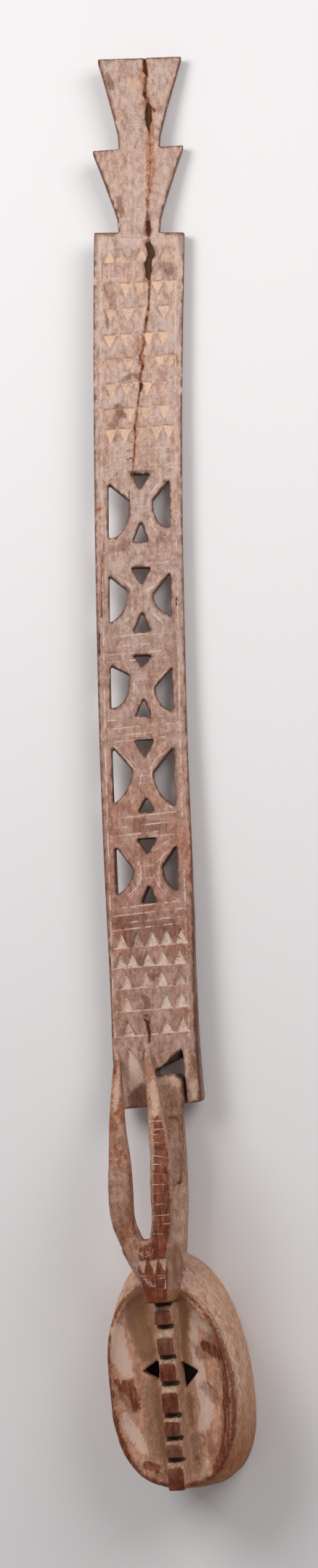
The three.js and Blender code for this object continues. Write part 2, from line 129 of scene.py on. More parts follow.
def read(items: bpy.types.bpy_prop_collection, name: str, width: int, kind: type = float) -> Points:
    """One property of all items.

    Args:
        items: A mesh's vertices, edges or faces.
        name: The property.
        width: How many numbers each item has.
        kind: The numbers' type, float or np.int32.

    Returns:
        One row of numbers for each item.
    """
    values = np.empty(len(items) * width, dtype=np.int32 if kind is np.int32 else np.float32)
    items.foreach_get(name, values)
    return values.reshape(-1, width).astype(kind)


def linked(name: str, data: bpy.types.ID) -> bpy.types.Object:
    """A new object in the scene.

    Args:
        name: The object's name.
        data: Its mesh, light or camera.

    Returns:
        The object.
    """
    made = bpy.data.objects.new(name, data)
    bpy.context.scene.collection.objects.link(made)
    return made


def applied(piece: bpy.types.Object) -> bpy.types.Mesh:
    """Turns a piece with modifiers into a plain mesh.

    Args:
        piece: The piece, which is removed with its own mesh.

    Returns:
        The evaluated mesh.
    """
    graph = bpy.context.evaluated_depsgraph_get()
    mesh = bpy.data.meshes.new_from_object(piece.evaluated_get(graph))
    old = piece.data
    bpy.data.objects.remove(piece)
    bpy.data.meshes.remove(old)
    return mesh


def search_tree(places: Points) -> KDTree:
    """Sorts places so that the nearest one to a point is found quickly.

    Args:
        places: One row of coordinates for each place.

    Returns:
        A tree whose find() gives the place, its row and its distance.
    """
    tree = KDTree(len(places))
    for row, place in enumerate(places):
        tree.insert(place, row)
    tree.balance()
    return tree


def flattened(places: Points) -> Points:
    """The places as seen from the front, all at height 0."""
    return places * np.array([1.0, 1.0, 0.0])


@dataclass(frozen=True)
class Lie:
    """How the straight carving lies: its lean, its wind and its plank that thins upwards."""

    centre: tuple[tuple[float, float], ...] = (
        (0, 54), (200, 37.5), (400, 17.5), (560, 0), (760, -10.5), (1040, -21.5), (1400, -28), (1970, -31),
    )
    shift: Triple = (-17.2161, -1004.3741, 0.0141)
    wind: float = math.radians(14)
    wind_start: float = 480
    wind_length: float = 650
    plank_middle: float = 34
    plank_depth: float = 30
    top_depth: float = 16
    foot: float = 529
    thinning: float = 700
    top: float = 1969
    top_corner: float = 59
    rounds: int = 30

    def centre_at(self, s: Points) -> Points:
        """Where the centre line runs, eased through its table.

        Args:
            s: Places along the mask.

        Returns:
            Millimetres across at each place.
        """
        table = np.array(self.centre, float)
        along, across = table[:, 0], table[:, 1]
        last = len(table) - 1
        k = np.minimum(np.searchsorted(along[1:], s, side="left"), last - 1)
        low, high = np.maximum(np.arange(last + 1) - 1, 0), np.minimum(np.arange(last + 1) + 1, last)
        slope = (across[high] - across[low]) / (along[high] - along[low])
        span = along[k + 1] - along[k]
        t = (s - along[k]) / span
        t2, t3 = t * t, t * t * t
        start = (2 * t3 - 3 * t2 + 1) * across[k] + (t3 - 2 * t2 + t) * span * slope[k]
        return start + (3 * t2 - 2 * t3) * across[k + 1] + (t3 - t2) * span * slope[k + 1]

    def lean_at(self, s: Points) -> Points:
        """Angle of the centre line at each s."""
        return np.arctan(self.centre_at(s - 0.5) - self.centre_at(s + 0.5))

    def wind_at(self, s: Points) -> Points:
        """Angle that the carving is twisted by at each s."""
        return self.wind * smoothstep(0.0, 1.0, (s - self.wind_start) / self.wind_length)

    def share_at(self, s: Points) -> Points:
        """The plank's depth at s, as a share of its depth at the foot."""
        thinned = self.top_depth / self.plank_depth
        return 1 + (thinned - 1) * smoothstep(0.0, 1.0, (s - self.foot) / self.thinning)

    def middle_at(self, s: Points) -> Points:
        """Height of the plank's middle, which falls until a corner of its top lies on the floor.

        Args:
            s: Places along the mask.

        Returns:
            Millimetres above the floor at each place.
        """
        top = self.top_corner * math.sin(self.wind) + self.top_depth / 2 * math.cos(self.wind)
        fall = np.maximum(0.0, (s - self.foot) / (self.top - self.foot))
        return self.plank_middle + (top - self.plank_middle) * fall

    def bend(self, places: Points) -> Points:
        """Takes places on the straight carving to the lying mask.

        Args:
            places: Rows of u, s and w.

        Returns:
            Rows of x, y and z in the frame, in millimetres.
        """
        u, s, w = places.T
        lean, wind = self.lean_at(s), self.wind_at(s)
        depth = (w - self.plank_middle) * self.share_at(s)
        across = u * np.cos(wind) + depth * np.sin(wind)
        height = depth * np.cos(wind) - u * np.sin(wind)
        x = self.centre_at(s) + across * np.cos(lean)
        y = s + across * np.sin(lean)
        return np.stack([x, y, self.middle_at(s) + height], axis=1) + self.shift

    def straighten(self, places: Points) -> Points:
        """Takes places on the lying mask to the straight carving.

        Args:
            places: Rows of x, y and z in the frame, in millimetres.

        Returns:
            Rows of u, s and w.
        """
        x, y, z = (places - self.shift).T
        s = y.copy()
        for _ in range(self.rounds):
            s = y - (x - self.centre_at(s)) * np.tan(self.lean_at(s))
        lean, wind = self.lean_at(s), self.wind_at(s)
        across = (x - self.centre_at(s)) * np.cos(lean) + (y - s) * np.sin(lean)
        height = z - self.middle_at(s)
        u = across * np.cos(wind) - height * np.sin(wind)
        depth = across * np.sin(wind) + height * np.cos(wind)
        return np.stack([u, s, self.plank_middle + depth / self.share_at(s)], axis=1)


LIE = Lie()
PLANK_FRONT = LIE.plank_middle + LIE.plank_depth / 2


class Wiring:
    """Adds nodes to one tree, shader or geometry, and links them."""

    def __init__(self, tree: bpy.types.NodeTree) -> None:
        """Takes the tree to add to."""
        self.tree = tree

    def node(self, kind: str, inputs: dict | None = None, **settings: object) -> bpy.types.Node:
        """Adds a node.

        Args:
            kind: Blender's name of the node type.
            inputs: Value or socket for each input, by name or index.
            **settings: Properties of the node itself.

        Returns:
            The new node.
        """
        made = self.tree.nodes.new(kind)
        for name, value in settings.items():
            setattr(made, name, value)
        for key, value in (inputs or {}).items():
            if isinstance(value, bpy.types.NodeSocket):
                self.tree.links.new(value, made.inputs[key])
            else:
                made.inputs[key].default_value = value
        return made

    def math(self, operation: str, *values: object) -> bpy.types.NodeSocket:
        """Result of one sum on numbers or sockets."""
        return self.node("ShaderNodeMath", dict(enumerate(values)), operation=operation).outputs[0]

    def times(self, first: object, second: object) -> bpy.types.NodeSocket:
        """Product of two numbers or sockets."""
        return self.math("MULTIPLY", first, second)

    def wander(self, noise: object, reach: object, base: object) -> bpy.types.NodeSocket:
        """Base, moved by up to half of reach either way, as the noise says."""
        return self.math("MULTIPLY_ADD", self.math("SUBTRACT", noise, 0.5), reach, base)

    def vector(self, operation: str, first: object, second: object) -> bpy.types.NodeSocket:
        """Result of one sum on vectors, or of a vector and a number for SCALE."""
        inputs = {0: first, "Scale" if operation == "SCALE" else 1: second}
        return self.node("ShaderNodeVectorMath", inputs, operation=operation).outputs[0]

    def stretch(
        self, value: object, low: float, high: float, start: float = 0.0, end: float = 1.0
    ) -> bpy.types.NodeSocket:
        """Eased share of value between low and high, from start to end."""
        inputs = {"Value": value, "From Min": low, "From Max": high, "To Min": start, "To Max": end}
        return self.node("ShaderNodeMapRange", inputs, interpolation_type="SMOOTHSTEP").outputs["Result"]


class CutterTree(Wiring):
    """A Geometry Nodes tree that makes cutters, with named inputs for its sizes."""

    def __init__(self, name: str, sizes: dict[str, float], seed: int) -> None:
        """Starts the tree and its inputs.

        Args:
            name: What the tree is called.
            sizes: Name and value of each size.
            seed: Chooses what is random.
        """
        super().__init__(bpy.data.node_groups.new(name, "GeometryNodeTree"))
        face = self.tree.interface
        face.new_socket("Geometry", in_out="INPUT", socket_type="NodeSocketGeometry")
        for size, value in sizes.items():
            face.new_socket(size, in_out="INPUT", socket_type="NodeSocketFloat").default_value = value
        face.new_socket("Seed", in_out="INPUT", socket_type="NodeSocketInt").default_value = seed
        face.new_socket("Finish", in_out="INPUT", socket_type="NodeSocketMaterial")
        face.new_socket("Geometry", in_out="OUTPUT", socket_type="NodeSocketGeometry")
        self.given = self.node("NodeGroupInput").outputs

    def stored(self, name: str) -> bpy.types.NodeSocket:
        """The number that each point brings under a name."""
        return self.node("GeometryNodeInputNamedAttribute", {"Name": name}, data_type="FLOAT").outputs[0]

    def chance(self, low: bpy.types.NodeSocket, high: bpy.types.NodeSocket) -> bpy.types.NodeSocket:
        """A random number for each point.

        Args:
            low: The least it may be.
            high: The most it may be.

        Returns:
            The number's socket.
        """
        made = self.node("FunctionNodeRandomValue", {"Seed": self.given["Seed"]}, data_type="FLOAT")
        for name, value in (("Min", low), ("Max", high)):
            socket = next(one for one in made.inputs if one.enabled and one.name == name)
            self.tree.links.new(value, socket)
        return next(one for one in made.outputs if one.enabled)

    def close(self, geometry: bpy.types.NodeSocket) -> bpy.types.NodeTree:
        """Ends the tree in plain geometry with its finish.

        Args:
            geometry: What the tree has made.

        Returns:
            The tree.
        """
        real = self.node("GeometryNodeRealizeInstances", {"Geometry": geometry}).outputs[0]
        inputs = {"Geometry": real, "Material": self.given["Finish"]}
        self.node("NodeGroupOutput", {"Geometry": self.node("GeometryNodeSetMaterial", inputs).outputs[0]})
        return self.tree


@dataclass
class GrooveTree:
    """The tree that turns drawn lines into round-bottomed gouges."""

    sides: int = 8
    spacing: float = 3 * MM
    wobble: float = 0.5 * MM
    waver: float = 14 * MM
    swell: float = 0.3
    seed: int = 3

    def build(self) -> bpy.types.NodeTree:
        """Makes the tree.

        Returns:
            A tree with the named inputs Wobble, Waver, Swell, Seed and Finish.
        """
        sizes = {"Wobble": self.wobble, "Waver": self.waver, "Swell": self.swell}
        tree = CutterTree("gouges", sizes, self.seed)
        given = tree.given
        line = tree.node("GeometryNodeMeshToCurve", {"Mesh": given["Geometry"]}).outputs["Curve"]
        inputs = {"Curve": line, "Length": self.spacing}
        line = tree.node("GeometryNodeResampleCurve", inputs, mode="LENGTH").outputs["Curve"]
        place = tree.node("GeometryNodeInputPosition").outputs[0]
        scale = tree.math("DIVIDE", 1.0, given["Waver"])
        inputs = {"Vector": place, "W": given["Seed"], "Scale": scale, "Detail": 2.0}
        shake = tree.node("ShaderNodeTexNoise", inputs, noise_dimensions="4D").outputs
        centred = tree.vector("SUBTRACT", shake["Color"], (0.5, 0.5, 0.5))
        offset = tree.vector("SCALE", centred, tree.times(given["Wobble"], 2.0))
        moved = tree.node("GeometryNodeSetPosition", {"Geometry": line, "Offset": offset}).outputs[0]
        change = tree.wander(shake[0], given["Swell"], 1.0)
        size = tree.times(tree.times(tree.stored("radius_mm"), change), MM)
        inputs = {"Resolution": self.sides, "Radius": 1.0}
        ring = tree.node("GeometryNodeCurvePrimitiveCircle", inputs).outputs["Curve"]
        inputs = {"Curve": moved, "Profile Curve": ring, "Scale": size, "Fill Caps": True}
        return tree.close(tree.node("GeometryNodeCurveToMesh", inputs).outputs[0])


@dataclass
class ChipTree:
    """The tree that sets a three-cornered chisel cut on each point."""

    half: float = 9.0 * MM
    height: float = 19.5 * MM
    depth: float = 2.6 * MM
    blade: float = 12 * MM
    slope: float = math.radians(4.5)
    turn: float = math.radians(6)
    growth: float = 0.1
    seed: int = 11

    def build(self) -> bpy.types.NodeTree:
        """Makes the tree.

        Returns:
            A tree with the named inputs Half Width, Height, Depth, Turn, Growth, Seed and Finish.
        """
        sizes = {"Half Width": self.half, "Height": self.height, "Depth": self.depth}
        sizes |= {"Turn": self.turn, "Growth": self.growth}
        tree = CutterTree("chip cuts", sizes, self.seed)
        given = tree.given
        tool = tree.node("GeometryNodeMeshCylinder", {"Vertices": 3, "Radius": 1.0, "Depth": 1.0})
        inputs = {"Geometry": tool.outputs["Mesh"], "Translation": (0.0, 0.5, 0.5),
                  "Rotation": (0.0, 0.0, math.pi / 2)}
        upright = tree.node("GeometryNodeTransform", inputs).outputs[0]
        across = tree.math("DIVIDE", given["Half Width"], math.sin(math.radians(60)))
        along = tree.math("DIVIDE", given["Height"], 1.5)
        size = tree.node("ShaderNodeCombineXYZ", {"X": across, "Y": along, "Z": self.blade}).outputs[0]
        shaped = tree.node("GeometryNodeTransform", {"Geometry": upright, "Scale": size}).outputs[0]
        sunk = tree.node("ShaderNodeCombineXYZ", {"Z": tree.times(given["Depth"], -1.0)}).outputs[0]
        inputs = {"Geometry": shaped, "Translation": sunk, "Rotation": (self.slope, 0.0, 0.0)}
        tilted = tree.node("GeometryNodeTransform", inputs).outputs[0]
        swayed = tree.chance(tree.times(given["Turn"], -1.0), given["Turn"])
        turned = tree.math("ADD", tree.stored("heading"), swayed)
        angle = tree.node("ShaderNodeCombineXYZ", {"Z": turned}).outputs[0]
        low, high = (tree.math(sign, 1.0, given["Growth"]) for sign in ("SUBTRACT", "ADD"))
        inputs = {"Points": given["Geometry"], "Instance": tilted, "Rotation": angle,
                  "Scale": tree.chance(low, high)}
        return tree.close(tree.node("GeometryNodeInstanceOnPoints", inputs).outputs[0])


def run_tree(mesh: bpy.types.Mesh, tree: bpy.types.NodeTree, finish: bpy.types.Material) -> bpy.types.Mesh:
    """Runs a Geometry Nodes tree on a mesh.

    Args:
        mesh: What the tree is given.
        tree: The tree, with a Finish input.
        finish: The material for that input.

    Returns:
        The result as a plain mesh.
    """
    seedling = linked(tree.name, mesh)
    maker = seedling.modifiers.new(tree.name, "NODES")
    maker.node_group = tree
    for item in tree.interface.items_tree:
        if item.name == "Finish" and item.in_out == "INPUT":
            maker[item.identifier] = finish
    return applied(seedling)


class Net:
    """An even net of small faces over the straightened solid."""

    def __init__(self, node: bpy.types.Object, cell: float) -> None:
        """Remeshes a straightened copy of the node.

        Args:
            node: The solid.
            cell: Size of one face, in millimetres.
        """
        mesh = node.data.copy()
        work = bmesh.new()
        work.from_mesh(mesh)
        bmesh.ops.remove_doubles(work, verts=work.verts, dist=1e-6)
        work.to_mesh(mesh)
        work.free()
        straight = LIE.straighten(read(mesh.vertices, "co", 3) / MM)
        mesh.vertices.foreach_set("co", (straight * MM).ravel())
        blank = linked("blank", mesh)
        remesh = blank.modifiers.new("even", "REMESH")
        remesh.mode = "VOXEL"
        remesh.voxel_size = cell * MM
        self.mesh = applied(blank)
        self.places = read(self.mesh.vertices, "co", 3) / MM
        self.edges = read(self.mesh.edges, "vertices", 2, np.int32)
        count = len(self.places)
        self.degree = np.maximum(np.bincount(self.edges.ravel(), minlength=count), 1)

    def around(self, values: Points) -> Points:
        """Mean of each point's neighbours.

        Args:
            values: One number or one row of numbers for each point.

        Returns:
            The means, in the same form.
        """
        first, second = self.edges.T
        count = len(self.places)
        columns = values.reshape(count, -1)
        means = np.empty_like(columns)
        for k in range(columns.shape[1]):
            total = np.bincount(first, columns[second, k], count)
            total += np.bincount(second, columns[first, k], count)
            means[:, k] = total / self.degree
        return means.reshape(values.shape)

    def spread(self, values: Points, times: int) -> Points:
        """Lets high values grow outwards.

        Args:
            values: One number for each point.
            times: How many points far they grow.

        Returns:
            The grown values.
        """
        for _ in range(times):
            values = np.maximum(values, self.around(values))
        return values

    def relax(self, weights: Points, times: int) -> None:
        """Eases the points towards their neighbours, each by its weight."""
        for _ in range(times):
            self.places += weights[:, None] * (self.around(self.places) - self.places)

    def normals(self) -> Points:
        """Outward direction at each point.

        Returns:
            One row of three numbers, of length 1, for each point.
        """
        self.mesh.vertices.foreach_set("co", (self.places * MM).ravel())
        self.mesh.update()
        return read(self.mesh.vertices, "normal", 3)

    def bulge(self) -> Points:
        """How far each point stands out from its neighbours, in millimetres."""
        return np.sum(self.normals() * (self.places - self.around(self.places)), axis=1)

    def faces(self) -> list[tuple[int, ...]]:
        """The corners of each face."""
        return [tuple(face.vertices) for face in self.mesh.polygons]


@dataclass(frozen=True)
class Cut:
    """A groove along a line: its points, width and depth in millimetres."""

    line: Line
    width: float
    depth: float


class Side(Enum):
    """The direction that a cut is made from."""

    FRONT = (0.0, 0.0, 1.0)
    RIGHT = (1.0, 0.0, 0.0)


@dataclass
class Gouge:
    """A set of cutters, and how deep they go into the net."""

    cutters: bpy.types.Mesh
    side: Side
    reach: float = 12.0
    margin: float = 0.5
    search: float = 6.0

    def press(self, net: Net, near: Points) -> None:
        """Sinks the net's points that lie inside a cutter to the cutter's bottom.

        Args:
            net: The net to carve.
            near: Which points may be touched.
        """
        corners = read(self.cutters.vertices, "co", 3) / MM
        faces = [tuple(face.vertices) for face in self.cutters.polygons]
        tree = BVHTree.FromPolygons([tuple(corner) for corner in corners], faces)
        inward = -Vector(self.side.value)
        low, high = corners.min(0) - self.margin, corners.max(0) + self.margin
        held = near & np.all(between(net.places, low, high), axis=1)
        depths = np.zeros(len(net.places))
        for index in np.flatnonzero(held):
            place = Vector(net.places[index])
            spot, normal, _, _ = tree.find_nearest(place, self.search)
            if spot is None or (place - spot).dot(normal) > 0:
                continue
            bottom = tree.ray_cast(place, inward, self.reach)[0]
            if bottom is not None:
                depths[index] = (bottom - place).length
        net.places -= depths[:, None] * np.array(self.side.value)


class Drape:
    """Finds the surface under a point that is given by two measures."""

    away = 500.0

    def __init__(self, net: Net, side: Side) -> None:
        """Takes the surface and the side it is looked at from."""
        self.side = side
        self.tree = BVHTree.FromPolygons([tuple(place) for place in net.places], net.faces())

    def at(self, first: float, second: float) -> Vector | None:
        """The surface at (u, s) from the front, or at (w, s) from the right."""
        start = (first, second, self.away) if self.side is Side.FRONT else (self.away, second, first)
        return self.tree.ray_cast(Vector(start), -Vector(self.side.value))[0]


class FlatFront:
    """The plank's front as a plain plane, for lines that lie on it."""

    side = Side.FRONT

    def at(self, u: float, s: float) -> Vector:
        """The plane at (u, s)."""
        return Vector((u, s, PLANK_FRONT))


def gouges(
    cuts: list[Cut], drape: Drape | FlatFront, finish: bpy.types.Material, tree: GrooveTree
) -> bpy.types.Mesh:
    """The cutters for a list of grooves.

    Args:
        cuts: The grooves.
        drape: Finds the surface that the grooves lie on.
        finish: Material that the tree is given.
        tree: The tree that sweeps the gouge along each line.

    Returns:
        The cutters' mesh, in metres.
    """
    corners: list[Vector] = []
    edges: list[tuple[int, int]] = []
    radii: list[float] = []
    for cut in cuts:
        radius = (cut.width**2 / 4 + cut.depth**2) / (2 * cut.depth)
        places = [drape.at(*point) for point in cut.line]
        places = [place for place in places if place is not None]
        start = len(corners)
        lift = Vector(drape.side.value) * (radius - cut.depth)
        corners += [(place + lift) * MM for place in places]
        edges += [(start + k, start + k + 1) for k in range(len(places) - 1)]
        radii += [radius] * len(places)
    mesh = bpy.data.meshes.new("lines")
    mesh.from_pydata(corners, edges, [])
    mesh.attributes.new("radius_mm", "FLOAT", "POINT").data.foreach_set("value", radii)
    return run_tree(mesh, tree.build(), finish)


def line_distance(flat: Points, line: Line) -> Points:
    """Distance to a line in the plane of two measures.

    Args:
        flat: The two measures of each point.
        line: The line's points, each with its half width as a third value where it has one.

    Returns:
        Millimetres to the line's edge, less than 0 inside it, and at most FAR.
    """
    result = np.full(len(flat), FAR)
    ends = np.array([point[:2] for point in line])
    near = np.flatnonzero(np.all(between(flat, ends.min(0) - FAR, ends.max(0) + FAR), axis=1))
    spots, best = flat[near], np.full(len(near), FAR)
    for first, second in zip(line, line[1:]):
        start, run = np.array(first[:2]), np.subtract(second[:2], first[:2])
        low, high = (first[2], second[2]) if len(first) > 2 else (0.0, 0.0)
        held = np.clip((spots - start) @ run / (run @ run), 0.0, 1.0)
        gap = spots - start - held[:, None] * run
        reach = np.hypot(gap[:, 0], gap[:, 1]) - (low + held * (high - low))
        best = np.minimum(best, reach)
    result[near] = best
    return result


def patch_distance(flat: Points, corners: Line) -> Points:
    """Distance to a patch with straight sides and no corner that points inwards.

    Args:
        flat: The two measures of each point.
        corners: The patch's outline.

    Returns:
        Millimetres to its edge, less than 0 inside it, and at most FAR.
    """
    outline = np.array(corners, float)
    middle = outline.mean(0)
    result = np.full(len(flat), -np.inf)
    for start, end in zip(outline, np.roll(outline, -1, axis=0)):
        outward = np.array([end[1] - start[1], start[0] - end[0]]) / np.hypot(*(end - start))
        if (middle - start) @ outward > 0:
            outward = -outward
        result = np.maximum(result, (flat - start) @ outward)
    return np.minimum(result, FAR)


def to_lines(flat: Points, lines: Lines) -> list[Points]:
    """Distance to each of the lines."""
    return [line_distance(flat, line) for line in lines]


def to_patches(flat: Points, patches: Lines) -> list[Points]:
    """Distance to each of the patches."""
    return [patch_distance(flat, patch) for patch in patches]


def nearest(distances: list[Points]) -> Points:
    """The least of several distances."""
    return np.array(distances).min(0)


def spaced(line: Line, step: float = 2.5) -> Line:
    """Adds points to a line, so that it can follow a rounded surface.

    Args:
        line: The line.
        step: About how far apart its points are to be.

    Returns:
        The same line with more points.
    """
    points = []
    for first, second in zip(line, line[1:]):
        count = max(2, math.ceil(math.dist(first, second) / step))
        points += [tuple(np.add(first, np.subtract(second, first) * k / count)) for k in range(count)]
    return tuple(points) + (line[-1],)


def rounded(line: Line, times: int = 2) -> Line:
    """Makes a smooth curve of a line by cutting its corners off.

    Args:
        line: The line.
        times: How often each corner is cut.

    Returns:
        The curve, with the line's own ends.
    """
    for _ in range(times):
        cut = [line[0]]
        for first, second in zip(line, line[1:]):
            step = np.subtract(second, first)
            cut += [tuple(np.add(first, step * 0.25)), tuple(np.add(first, step * 0.75))]
        line = (*cut, line[-1])
    return line


@dataclass(frozen=True)
class Openings:
    """One pierced panel: the ends of its openings and its two waists."""

    top: float
    apex: float
    peak: float
    foot: float
    left_head: float
    left_waist: tuple[float, float]
    left_foot: float
    right_head: float
    right_waist: tuple[float, float]
    right_foot: float

    def arms(self) -> Lines:
        """Lines along the four arms of the X.

        Returns:
            Two lines for each side, from beside its waist up and down to the openings' corners.
        """
        lines = []
        for (u, s), head, heel, sign in (
            (self.left_waist, self.left_head, self.left_foot, -1),
            (self.right_waist, self.right_head, self.right_foot, 1),
        ):
            lines.append(((u * 0.62, (s + self.apex) / 2 - 3), (u + sign * 9, (s + head) / 2 + 8),
                          (sign * 29, (self.top + head) / 2 + 1)))
            lines.append(((u * 0.6, s - 6), (u * 0.72, (s + self.peak) / 2),
                          (sign * 15, (self.peak + heel) / 2), (sign * 27, (self.foot + heel) / 2 + 1)))
        return tuple(rounded(line) for line in lines)

    def rungs(self) -> Lines:
        """Short lines across the waist, about 7.5 mm apart.

        Returns:
            A line for each rung, from left to right.
        """
        low, high = self.peak + 9, (self.left_waist[1] + self.right_waist[1]) / 2 + 3
        count = max(2, round((high - low) / 7.5))
        left, right = self.left_waist[0] * 0.5, self.right_waist[0] * 0.62
        return tuple(((left, s), (right, s + 1)) for s in np.linspace(low, high, count))


